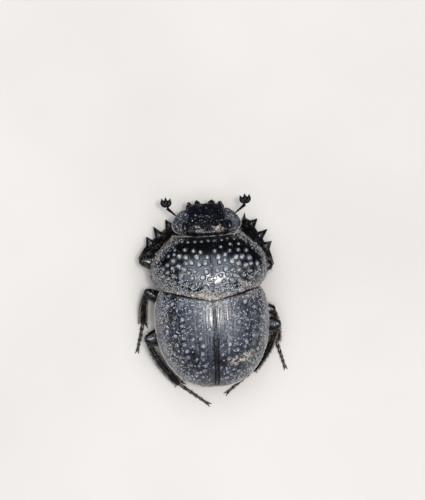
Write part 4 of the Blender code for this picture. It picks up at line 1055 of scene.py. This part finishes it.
def feelers(finish, hairs):
    for side, name in SIDES.items():
        *line, root = np.array(FEELERS[side])
        stem = Shape()
        for i, (a, b) in enumerate(zip(STEM_CUTS, STEM_CUTS[1:])):
            size = swollen(0.26 + 0.05 * i, 0.72) if i else swollen(0.3, 0.72, 0.9)
            stem.body(link(line, (max(a - 0.02, 0), (a + b) / 2, b + 0.01), size)[0])
        stem.make(f"feeler_stem_{name}", "feeler", finish, f"antenna_{name}")

        club = Shape()
        for leaf, heading in enumerate(CLUB_HEADINGS[side]):
            turn = math.radians(heading)
            aim = np.array([math.sin(turn) * side, math.cos(turn), 0.0])
            across = np.array([aim[1], -aim[0], 0.0])
            bow = across * side * 0.13 * (1, 0, -1)[leaf]
            spine = [root, root + aim * CLUB_LENGTH * 0.5 + bow, root + aim * CLUB_LENGTH * 0.99]
            points, share, turns = tube(spine, leaf_size, across, 0.55, 32, 40)
            club.body(points)
            pick = np.random.default_rng(90 + leaf).integers(4, 38, 34)
            spot = np.random.default_rng(95 + leaf).integers(0, 32, 34)
            roots = points[pick, spot]
            aims = unit(roots - points[pick].mean(axis=1)) * 0.6 + aim
            places = np.stack([(leaf + turns[spot] / math.tau) / 6 + 0.5 * (side > 0), share[pick]], 1)
            hairs.grow(roots, aims, 0.16, 0.012, places, salt=leaf)
        club.make(f"feeler_club_{name}", "feeler", finish, f"antenna_club_{name}")

        mouth, line = Shape(), np.array(PALP) * (side, 1, 1)
        for wide, a, b in PALP_SEGMENTS:
            mouth.body(link(line, (a, (a + b) / 2, b), swollen(wide, 0.7))[0])
        mouth.make(f"palp_segments_{name}", "feeler", finish, f"palp_{name}")


# ---------------------------------------------------------------- underside


def puncture(points, out, size, depth, salt):
    away, own = grains(points, size, salt)
    return points - out * (depth * smooth(0.5, 0.2, away) * (own > 0.35))[..., None]


def padded(line, before, after):
    """A line with five more of one value before it and of another after it."""
    return np.concatenate([np.full(5, before), line, np.full(5, after)])


def belly_plate(name, node, y, belly, base, finish, groove, salt):
    """A length of the hind body from its sections: rows of y, belly height and how far each follows
    the base's curve."""
    turn = np.linspace(0, math.tau, 161)
    turn[-1] = 0.0
    scale = np.concatenate([SECTION_ENDS, np.ones(len(y) - 10), SECTION_ENDS[::-1]])[:, None]
    across, tall = scale * signed(np.cos(turn), 2 / ARCH_POWER), scale * np.abs(np.sin(turn))
    y = y[:, None] + 0 * turn
    guess = across * (dome_half_width(y) - CORE_INSET)
    y = y + base[:, None] * (base_y(guess) - BASE_MIDDLE_Y)
    stretch = (WIDEST_Y - DOME_REAR_Y) / (WIDEST_Y - DOME_REAR_Y - CORE_INSET)
    under = np.where(y < WIDEST_Y, WIDEST_Y + (y - WIDEST_Y) * stretch, y)
    x = across * np.maximum(dome_half_width(under) - CORE_INSET, 0.3)
    rise = np.maximum(dome_top(under) - CORE_INSET - BODY_CENTRE_Z, 0.2)
    above = BODY_CENTRE_Z + rise * tall ** (2 / ARCH_POWER)
    below = BODY_CENTRE_Z - (BODY_CENTRE_Z - belly[:, None]) * tall ** (2 / BELLY_POWER)
    points = np.stack([x, y, np.where(np.sin(turn) >= 0, above, below)], -1)
    out = outward(points, points.reshape(-1, 3).mean(0), wrap=True)
    lower = (np.sin(turn) < 0)[None, :] * smooth(0.0, 0.3, scale)
    cut, seams = groove(points)
    points = puncture(points, out * lower[..., None], 0.3, 0.035, salt)
    points = points - out * (cut * lower)[..., None]
    dust = 0.5 * patches(points, 0.9, salt, 0.55, 0.75) * lower
    section = Shape().body(points, dust=dust, grain=0.25 * seams * lower)
    section.make(name, "underside", finish, node, 60)


def chest_groove(points):
    x, y = points[..., 0], points[..., 1]
    middle = bell(x, 0.16) * smooth(-6.6, -6.0, y) * smooth(-0.9, -1.6, y)
    sides = bell(np.abs(x) - 4.6 - 0.25 * (y + 4), 0.12)
    boss = bell(x, 1.1) * bell(y + 1.6, 0.9)
    return 0.12 * middle + 0.07 * sides - 0.16 * boss, 0.2 * middle


def abdomen_groove(points):
    x, y = points[..., 0], points[..., 1]
    span = ABDOMEN_FRONT_Y - ABDOMEN_REAR_Y
    ring = (ABDOMEN_FRONT_Y - y + 0.3 * (x / 6.0) ** 2) / span * STERNITES
    seam = bell(np.abs(ring - np.round(ring)), 0.085)
    return 0.085 * seam, seam


def underside(finish):
    y = padded(np.linspace(-0.7, -6.55, 60), -0.62, -6.62)
    share = (y - y[-1]) / (y[0] - y[-1])
    belly = np.full(len(y), BELLY_Z)
    belly_plate("metasternum_plate", "metasternum", y, belly, share, finish, chest_groove, 51)
    share = np.linspace(0.0, 1.0, 90)
    y = ABDOMEN_FRONT_Y - (ABDOMEN_FRONT_Y - ABDOMEN_REAR_Y) * share
    belly = BELLY_Z + ABDOMEN_RISE * share**2.2
    y, belly = padded(y, y[0] + 0.05, y[-1] - 0.04), padded(belly, belly[0], belly[-1])
    belly_plate("abdomen_plates", "abdomen", y, belly, 0 * y, finish, abdomen_groove, 52)
    pygidium, out = ball(PYGIDIUM_CENTRE, PYGIDIUM_RADII, PYGIDIUM_TILT, 96, 60)
    last = Shape().body(puncture(pygidium, out, 0.26, 0.04, 53), grain=0.1)
    last.make("pygidium_plate", "underside", finish, "pygidium")

    def height(x, y, r, above):
        edge = PROSTERNUM_TOP_Z - 0.25
        if above:
            return edge + 0.25 * np.minimum(1.0, (1.0 - r) * 4)
        keel = 0.25 * bell(x, 0.5) * swell(r, 2.0, 1.5)
        return edge - (edge - BELLY_Z) * swell(r, 1.9, 1.5) - keel

    loop = loop_through(PROSTERNUM_MARGIN, 300, True, 0.1)
    top, under = plate(loop, (PROSTERNUM_CENTRE, PROSTERNUM_CENTRE), height, 12, 60)
    run = run_along(under, 0)
    out = outward(under, (0.0, 3.3, 6.0), wrap=True) * smooth(0.0, 0.4, run[-1:] - run)[..., None]
    rough = puncture(under, out, 0.3, 0.04, 54)
    shape = Shape()
    shape.sheet(top)
    shape.sheet(rough[:, ::-1], dust=0.4 * patches(rough, 0.9, 55, 0.5, 0.75), grain=0.1)
    shape.close().make("prosternum_plate", "underside", finish, "prosternum", 60)

    chin, out = ball(CHIN_CENTRE, CHIN_RADII)
    chin = chin - out * 0.08 * bell(chin[..., :1], 0.15)
    Shape().body(puncture(chin, out, 0.25, 0.03, 56)).make("labium_plate", "underside", finish, "labium")


# ---------------------------------------------------------------- legs


def tibia_line(pair, side):
    knee, end = np.array(JOINTS[pair, side][:2])
    heading = unit(end - knee)
    outwards = unit(np.cross(heading, (0.0, 0.0, 1.0)))
    if outwards[0] * knee[0] < 0:
        outwards = -outwards
    return knee, (knee + end) / 2 + outwards * LIMBS[pair]["bow"], end, heading, outwards


def peak(turn, at, width):
    """1 where turn is at, falling to 0 round it."""
    return bell(np.abs((turn - at + math.pi) % math.tau - math.pi), width)


def grow_on_limb(hairs, band, points, share, rows, length, radius, lean, salt):
    """Hairs on lines along a limb. rows gives each line's turn, its first and last share and how many
    stand on it; lean is how far they point along the limb, and band is their part of the unwrap."""
    rng, around = np.random.default_rng(salt), points.shape[1] - 1
    axis = points[:, :-1].mean(axis=1)
    for turn, first, last, count in rows:
        at = np.clip(np.linspace(first, last, count) + rng.normal(0, 0.01, count), 0.02, 0.98)
        row = np.clip(np.searchsorted(share, at), 1, len(share) - 2)
        column = np.round((turn + rng.normal(0, 0.06, count)) / math.tau * around).astype(int) % around
        roots = points[row, column]
        aims = unit(roots - axis[row]) + unit(axis[row + 1] - axis[row - 1]) * lean
        places = np.stack([band[0] + (band[1] - band[0]) * column / around, share[row]], 1)
        hairs.grow(roots, aims, length, radius, places, salt=salt + int(10 * turn))


def femur(pair, side, finish, hairs, band, salt):
    limb, name = LIMBS[pair], SIDES[side]
    hip, knee = np.array(limb["hip"]) * (side, 1, 1), np.array(JOINTS[pair, side][0])
    end = knee + unit(knee - hip) * 0.3

    def size(share):
        return spline(limb["femur"], share), limb["femur_depth"] + 0 * share

    def ridges(share, turn):
        return 0.03 * (peak(turn, 0.0, 0.16) + peak(turn, math.pi, 0.16)) * smooth(0.1, 0.3, share)

    points, share, _ = tube([hip, end], size, (0.0, 1.0, 0.0), 0.6, 64, 90, ridges)
    out = outward(points, (hip + end) / 2, wrap=True)
    out[0] = out[-1] = 0.0
    dust = 0.12 * patches(points, 0.7, salt, 0.6, 0.8)
    trochanter = hip + unit(end - hip) * 0.35 + (0, 0, -0.25)
    shape = Shape().body(puncture(points, out, 0.34, 0.03, salt), dust=dust)
    shape.body(ball(trochanter, (0.75, 0.62, 0.5), 0.0, 32, 20)[0])
    shape.make(f"{pair}_femur_shell_{name}", "leg", finish, f"{pair}_femur_{name}")
    rows = ((0.0, 0.15, 0.95, 44), (math.pi, 0.15, 0.95, 44), (4.4, 0.2, 0.9, 18), (5.1, 0.2, 0.9, 18))
    grow_on_limb(hairs, band, points, share, rows, 0.5, 0.026, 0.9, salt)


def fore_tibia(side, finish, hairs, band, salt):
    knee, _, _, heading, outwards = tibia_line("fore", side)
    edge = list(KNEE_END)
    for along, out in TEETH[:-1]:
        edge += [(along - TOOTH_BEFORE, TOOTH_OUT), (along, out), (along + TOOTH_AFTER, TOOTH_OUT)]
    last_along, last_out = TEETH[-1]
    edge += [(last_along - TOOTH_BEFORE, last_out * 0.7), (last_along, last_out), *INNER_EDGE]
    loop = loop_through(edge, 640, False, 0.055)
    middle, reach = sum(TIBIA_SPINE) / 2, (TIBIA_SPINE[1] - TIBIA_SPINE[0]) / 2

    def height(x, y, r, above):
        slim = 1.0 - 0.25 * np.minimum(1.0, np.abs(x - middle) / reach)
        half = LIMBS["fore"]["tibia_depth"] / 2 * slim * swell(r, 3.0, 2.0)
        relief = 0.10 * bell(y + 0.1, 0.1) + 0.08 * bell(y - 0.62, 0.1)
        relief -= 0.09 * bell(y - 0.26, 0.16) + 0.06 * bell(y + 0.45, 0.14)
        for along, out in TEETH[:-1]:
            relief += 0.07 * bell(x - along + 0.16 * (out - y), 0.12) * smooth(0.7, 1.1, y)
        return (half + swell(r, 6.0, 1.0) * relief) * (1 if above else -1)

    top, under = plate(loop, [(x, 0.0) for x in TIBIA_SPINE], height, 44, 30)
    up = np.cross(heading, outwards)
    turned = np.stack([heading, outwards, up])
    shape = Shape()
    for sheet, way in ((top, 1), (under, -1)):
        moved = knee + sheet @ turned
        shape.sheet(moved[:, ::way], dust=0.1 * patches(moved, 0.5, salt, 0.55, 0.8)[:, ::way])
    shape.close()
    spur = knee + np.array([(7.35, -0.55, 0.0), (8.35, -1.1, 0.0)]) @ turned
    shape.body(cone(*spur, SPUR_RADIUS, (0, 0, 0.06)))
    name = SIDES[side]
    shape.make(f"fore_tibia_blade_{name}", "leg", finish, f"fore_tibia_{name}", 50)

    rng = np.random.default_rng(salt)
    up = up * np.sign(up[2])
    for line_y, aim_y, aim_z, count, length in (
        (-0.8, -1.0, 0.15, 56, 0.75), (-0.6, -0.7, 0.7, 34, 0.5), (0.3, 0.3, 1.0, 24, 0.25),
        (0.85, 0.9, 0.5, 24, 0.3),
    ):
        along = np.linspace(*TIBIA_SPINE, count) + rng.normal(0, 0.02, count)
        flat = np.stack([along, line_y + rng.normal(0, 0.05, count), np.zeros(count)], 1)
        roots = knee + flat @ turned + up * rng.uniform(0.05, 0.3, (count, 1))
        aims = outwards * aim_y + up * aim_z + heading * 0.45
        spot = band[0] + (band[1] - band[0]) * (line_y + 1) / 2
        places = np.stack([spot + 0 * along, along / 8], 1)
        hairs.grow(roots, aims, length, 0.03, places, 0.1, salt + count)


def tibia(pair, side, finish, hairs, band, salt):
    limb, name = LIMBS[pair], SIDES[side]
    knee, middle, end, heading, outwards = tibia_line(pair, side)

    def size(share):
        return spline(limb["tibia"], share), limb["tibia_depth"] * (0.85 + 0.2 * share)

    def ridges(share, turn):
        lines = sum(peak(turn, at, 0.17) for at in (0.75, 2.4, 3.9, 5.55))
        notch = peak(turn, 0.0, 0.35) * np.maximum(0.0, (share * 11.0) % 1.0 - 0.55) * 0.22
        notch = notch + peak(turn, math.pi, 0.3) * np.maximum(0.0, (share * 9.0) % 1.0 - 0.6) * 0.16
        return (0.10 * lines + notch - 0.04) * smooth(0.05, 0.15, share)

    points, share, turns = tube([knee, middle, end], size, outwards, 0.5, 72, 150, ridges)
    crests = ridges(share[:, None], turns[None, :]) > 0.045
    # painted highlight: pale streaks along the tibia's ridge crests, in the rim colour
    ridge_highlight = 0.4 * crests * patches(points * (1.0, 0.4, 1.0), 0.5, salt + 4, 0.3, 0.5)
    shape = Shape().body(points, dust=0.08 * patches(points, 0.5, salt, 0.55, 0.8), rim=ridge_highlight)
    width = limb["tibia"][-1][1]
    root = end - heading * 0.3 - outwards * (width * 0.22)
    tip = end + heading * 0.7 - outwards * (width * 0.6)
    tip[2] = SPUR_TIP_Z
    shape.body(cone(root, tip, SPUR_RADIUS, (0, 0, 0.08)))
    for spot in np.linspace(-0.45, 0.45, 5):
        start = end - heading * 0.15 + outwards * (spot * width * 0.85)
        tip = start + (outwards * (spot * width) + heading * 0.3) * 0.5 + (0, 0, -0.08)
        shape.body(cone(start, tip, COMB_RADIUS, columns=8, rows=8))
    shape.make(f"{pair}_tibia_shaft_{name}", "leg", finish, f"{pair}_tibia_{name}", 50)
    rows = (
        (0.75, 0.08, 0.98, 44), (2.4, 0.08, 0.98, 44), (0.0, 0.1, 0.98, 44), (math.pi, 0.1, 0.98, 44),
        (1.57, 0.1, 0.95, 12), (4.0, 0.1, 0.95, 30), (5.4, 0.1, 0.95, 30),
    )
    grow_on_limb(hairs, band, points, share, rows, 0.42, 0.026, 1.8, salt)


def tarsus(pair, side, finish, hairs, band, salt):
    _, end, toe = np.array(JOINTS[pair, side])
    heading = unit((toe - end) * (1, 1, 0))
    start = np.array([*end[:2], TARSUS_START_Z]) - heading * 0.2
    middle = (start + toe) / 2
    middle[2] = TARSUS_MIDDLE_Z
    across = np.cross(heading, (0.0, 0.0, 1.0))
    shape = Shape()
    for i, (a, b) in enumerate(zip(TARSUS_CUTS, TARSUS_CUTS[1:])):
        def size(share, wide=TARSUS_WIDTH * (0.95 - 0.06 * i), last=i == 4):
            flare = 0.52 + 0.42 * share**0.8 + (0.08 * np.sin(share * math.pi) if last else 0.0)
            return wide * flare, wide * flare * 0.86

        spots = (a, (a + b) / 2, min(b + 0.02, 1.0))
        points, share, _ = link([start, middle, toe], spots, size, across, 0.5, 24)
        points[..., 2] = np.maximum(points[..., 2], 0.0)
        shape.body(points)
        rows = ((0.3, 0.75, 0.95, 4), (2.8, 0.75, 0.95, 4), (3.6, 0.7, 0.95, 4), (5.7, 0.7, 0.95, 4))
        grow_on_limb(hairs, band, points, share, rows, 0.3, 0.016, 1.6, salt + 3 * i)
    for turn in CLAW_TURNS:
        c, s = math.cos(math.radians(turn)), math.sin(math.radians(turn))
        aim = np.array([c * heading[0] - s * heading[1], s * heading[0] + c * heading[1], 0.0])
        tip = toe + aim * CLAW_LENGTH
        tip[2] = CLAW_TIP_Z
        shape.body(cone(toe - heading * 0.15, tip, CLAW_RADIUS, aim * 0.03 + (0, 0, 0.08)))
    name = SIDES[side]
    shape.make(f"{pair}_tarsus_joints_{name}", "leg", finish, f"{pair}_tarsus_{name}")


def legs(finish, bristle, comb):
    for pair_at, (pair, limb) in enumerate(LIMBS.items()):
        for side, name in SIDES.items():
            hairs, salt = Hairs(), 200 + 20 * pair_at + side
            centre, radii = limb["coxa"]
            points, out = ball(np.array(centre) * (side, 1, 1), radii)
            coxa = Shape().body(puncture(points, out, 0.3, 0.035, salt))
            coxa.make(f"{pair}_coxa_shell_{name}", "leg", finish, f"{pair}_coxa_{name}")
            femur(pair, side, finish, hairs, (0.0, 0.3), salt)
            if pair == "fore":
                fore_tibia(side, finish, hairs, (0.35, 0.95), salt + 1)
            else:
                tibia(pair, side, finish, hairs, (0.35, 0.65), salt + 1)
                tarsus(pair, side, finish, hairs, (0.7, 0.98), salt + 2)
            hairs.make(f"{pair}_bristles_{name}", "leg", comb if pair == "fore" else bristle)


def body_bristles(loop, bristle, hairs):
    """Short hairs round the pronotum's sides and the head's front, beside the clubs' own."""
    rng, count = np.random.default_rng(77), 150
    for side in (-1.0, 1.0):
        share = rng.uniform(0.05, 0.95, count)
        roots = shield_surface(share, np.full(count, side * math.pi / 2)) + (0.0, 0.0, -0.05)
        aims = np.stack([np.full(count, side), rng.normal(0, 0.3, count), np.full(count, -0.35)], 1)
        places = np.stack([0.25 + 0.2 * side + 0 * share, share], 1)
        hairs.grow(roots, aims, 0.5, 0.024, places, 0.15, 3)
    pick = np.array([i for i in range(0, len(loop) - 1, 6) if loop[i, 1] > 0.9])
    roots = from_head(np.column_stack([loop[pick] * 0.985, np.full(len(pick), -0.05)]))
    aims = np.column_stack([loop[pick] - (0.0, HEAD_CENTRE_Y), np.full(len(pick), -1.6)])
    aims = from_head(unit(aims)) - HEAD_HINGE
    hairs.grow(roots, aims, 0.3, 0.016, np.stack([0.6 + 0 * pick, pick / len(loop)], 1), 0.1, 4)
    hairs.make("body_bristles", "leg", bristle)


# ---------------------------------------------------------------- floor, light and camera


def floor_and_card():
    bpy.ops.mesh.primitive_grid_add(x_subdivisions=20, y_subdivisions=20, size=FLOOR_SIZE)
    floor = bpy.context.object
    floor.name = "floor"
    floor.data.materials.append(floor_finish())
    flag = bpy.data.meshes.new("black_flag")
    turns = np.radians(np.arange(-FLAG_TURNS[-1], FLAG_TURNS[-1] + 1.0, FLAG_STEP))
    heights = np.tan(np.radians(np.interp(np.abs(turns), np.radians(FLAG_TURNS), FLAG_RISES)))
    around = np.stack([np.sin(turns), np.cos(turns)], 1)
    apron = np.column_stack([around * FLAG_APRON, FLAG_APRON_Z + 0 * turns])
    lower = np.column_stack([around * FLAG_REACH, FLAG_FOOT_Z + 0 * turns])
    upper = np.column_stack([around * FLAG_REACH, FLAG_REACH * heights + FLAG_LIFT])
    n = len(turns)
    faces = [(i, i + 1, n + i + 1, n + i) for i in range(2 * n - 1) if i != n - 1]
    faces.append((3 * n, 3 * n + 1, 3 * n + 2, 3 * n + 3))
    flag.from_pydata(np.vstack([apron, lower, upper, REAR_CARD]).tolist(), [], faces)
    flag.materials.append(flag_finish())
    card = added("black_flag", flag)
    card.visible_camera = card.visible_shadow = card.visible_diffuse = False


def studio_world():
    world = bpy.data.worlds.new("studio")
    bpy.context.scene.world = world
    world.use_nodes = True
    tree = world.node_tree
    where, parts, ramp = (
        tree.nodes.new(kind)
        for kind in ("ShaderNodeTexCoord", "ShaderNodeSeparateXYZ", "ShaderNodeValToRGB")
    )
    background = tree.nodes["Background"].inputs
    background["Strength"].default_value = WORLD_STRENGTH
    tree.links.new(where.outputs["Generated"], parts.inputs[0])
    tree.links.new(parts.outputs["Z"], ramp.inputs[0])
    tree.links.new(ramp.outputs[0], background["Color"])
    stops = ramp.color_ramp.elements
    (stops[0].position, low), (middle_at, middle), (stops[1].position, high) = WORLD_COLOURS
    stops[0].color, stops[1].color = (*low, 1.0), (*high, 1.0)
    stops.new(middle_at).color = (*middle, 1.0)


def lamp(name, kind, energy, colour, towards=None):
    """A lamp that shines from a direction, or straight down."""
    light = bpy.data.lights.new(name, kind)
    light.energy, light.color = energy, colour
    made = added(name, light)
    if towards:
        made.rotation_mode = "QUATERNION"
        made.rotation_quaternion = Vector(towards).to_track_quat("Z", "Y")
    return made


def lights():
    for name, place, (wide, deep), radiance, colour in AREA_LAMPS:
        towards = None if name == "soft_box" else place
        made = lamp(name, "AREA", radiance * math.pi * wide * deep * math.pi / 4, colour, towards)
        made.data.shape, made.data.size, made.data.size_y = "ELLIPSE", wide, deep
        made.location = place
        if name == "soft_box":
            made.rotation_euler[2] = SOFT_BOX_TURN
    lamp("key", "SUN", KEY_ENERGY, KEY_COLOUR, KEY_FROM).data.angle = KEY_ANGLE
    bpy.context.scene.view_settings.view_transform = "Standard"


def camera():
    lens = bpy.data.cameras.new("camera")
    lens.lens, lens.sensor_width = CAMERA_LENS, CAMERA_SENSOR
    lens.clip_start, lens.clip_end = CAMERA_CLIP
    back = Vector((-math.sin(CAMERA_LEAN), 0.0, math.cos(CAMERA_LEAN)))
    right = Vector((math.cos(CAMERA_TWIST), -math.sin(CAMERA_TWIST), 0.0))
    right = (right - back * right.dot(back)).normalized()
    turned = Matrix((right, back.cross(right), back)).transposed().to_4x4()
    target = (Vector(CAMERA_TARGET) + Vector(SHIFT)) * MM
    view = added("camera", lens)
    view.matrix_world = Matrix.Translation(target + back * CAMERA_DISTANCE) @ turned
    bpy.context.scene.camera = view


# ---------------------------------------------------------------- the whole beetle


def dress():
    shell = chitin(
        "shell_chitin", (0.001, 0.001, 0.001), (0.002, 0.002, 0.003), (0.22, 0.32), speckle=0.02,
        coat=0.45, bump=0.08, mottle=0.3,
    )
    # the wing cases' paler blue-grey colour is partly their own ground colour and partly a painted blue
    # sky sheen
    wing = chitin(
        "wing_chitin", (0.002, 0.002, 0.004), (0.055, 0.065, 0.084), (0.26, 0.42), mottle=0.9,
        ior=1.45, grit=(5.6, 0.92),
    )
    face = chitin(
        "head_chitin", (0.002, 0.002, 0.003), (0.006, 0.007, 0.010), (0.16, 0.28), speckle=0.03,
        coat=0.1, bump=0.6, mottle=0.7, ior=1.4, grit=(7.5, 0.7),
    )
    limb = chitin(
        "leg_chitin", (0.001, 0.001, 0.001), (0.004, 0.004, 0.004), (0.14, 0.27), speckle=0.02,
        coat=0.1, bump=0.4, mottle=0.6, ior=1.4,
    )
    below = chitin(
        "belly_chitin", (0.006, 0.005, 0.004), (0.020, 0.015, 0.012), (0.24, 0.4), speckle=0.12,
        coat=0.2, bump=0.4,
    )
    horn = chitin(
        "feeler_chitin", (0.001, 0.001, 0.001), (0.004, 0.003, 0.002), (0.3, 0.45), speckle=0.0,
        coat=0.0, bump=0.4, ior=1.2,
    )
    bristle = bristle_finish("bristle_brown", (0.012, 0.007, 0.005), (0.26, 0.17, 0.11))

    pronotum(shell)
    for side in SIDES:
        wing_case(side, wing)
    loop = head(face)
    eyes(eye_finish())
    hairs = Hairs()
    feelers(horn, hairs)
    underside(below)
    # the fore legs' comb bristles are tan, and their light colour partly paints the highlights they
    # catch
    legs(limb, bristle, bristle_finish("comb_tan_and_highlight", (0.03, 0.018, 0.012), (0.42, 0.30, 0.20)))
    body_bristles(loop, bristle, hairs)


dress()
floor_and_card()
studio_world()
lights()
camera()
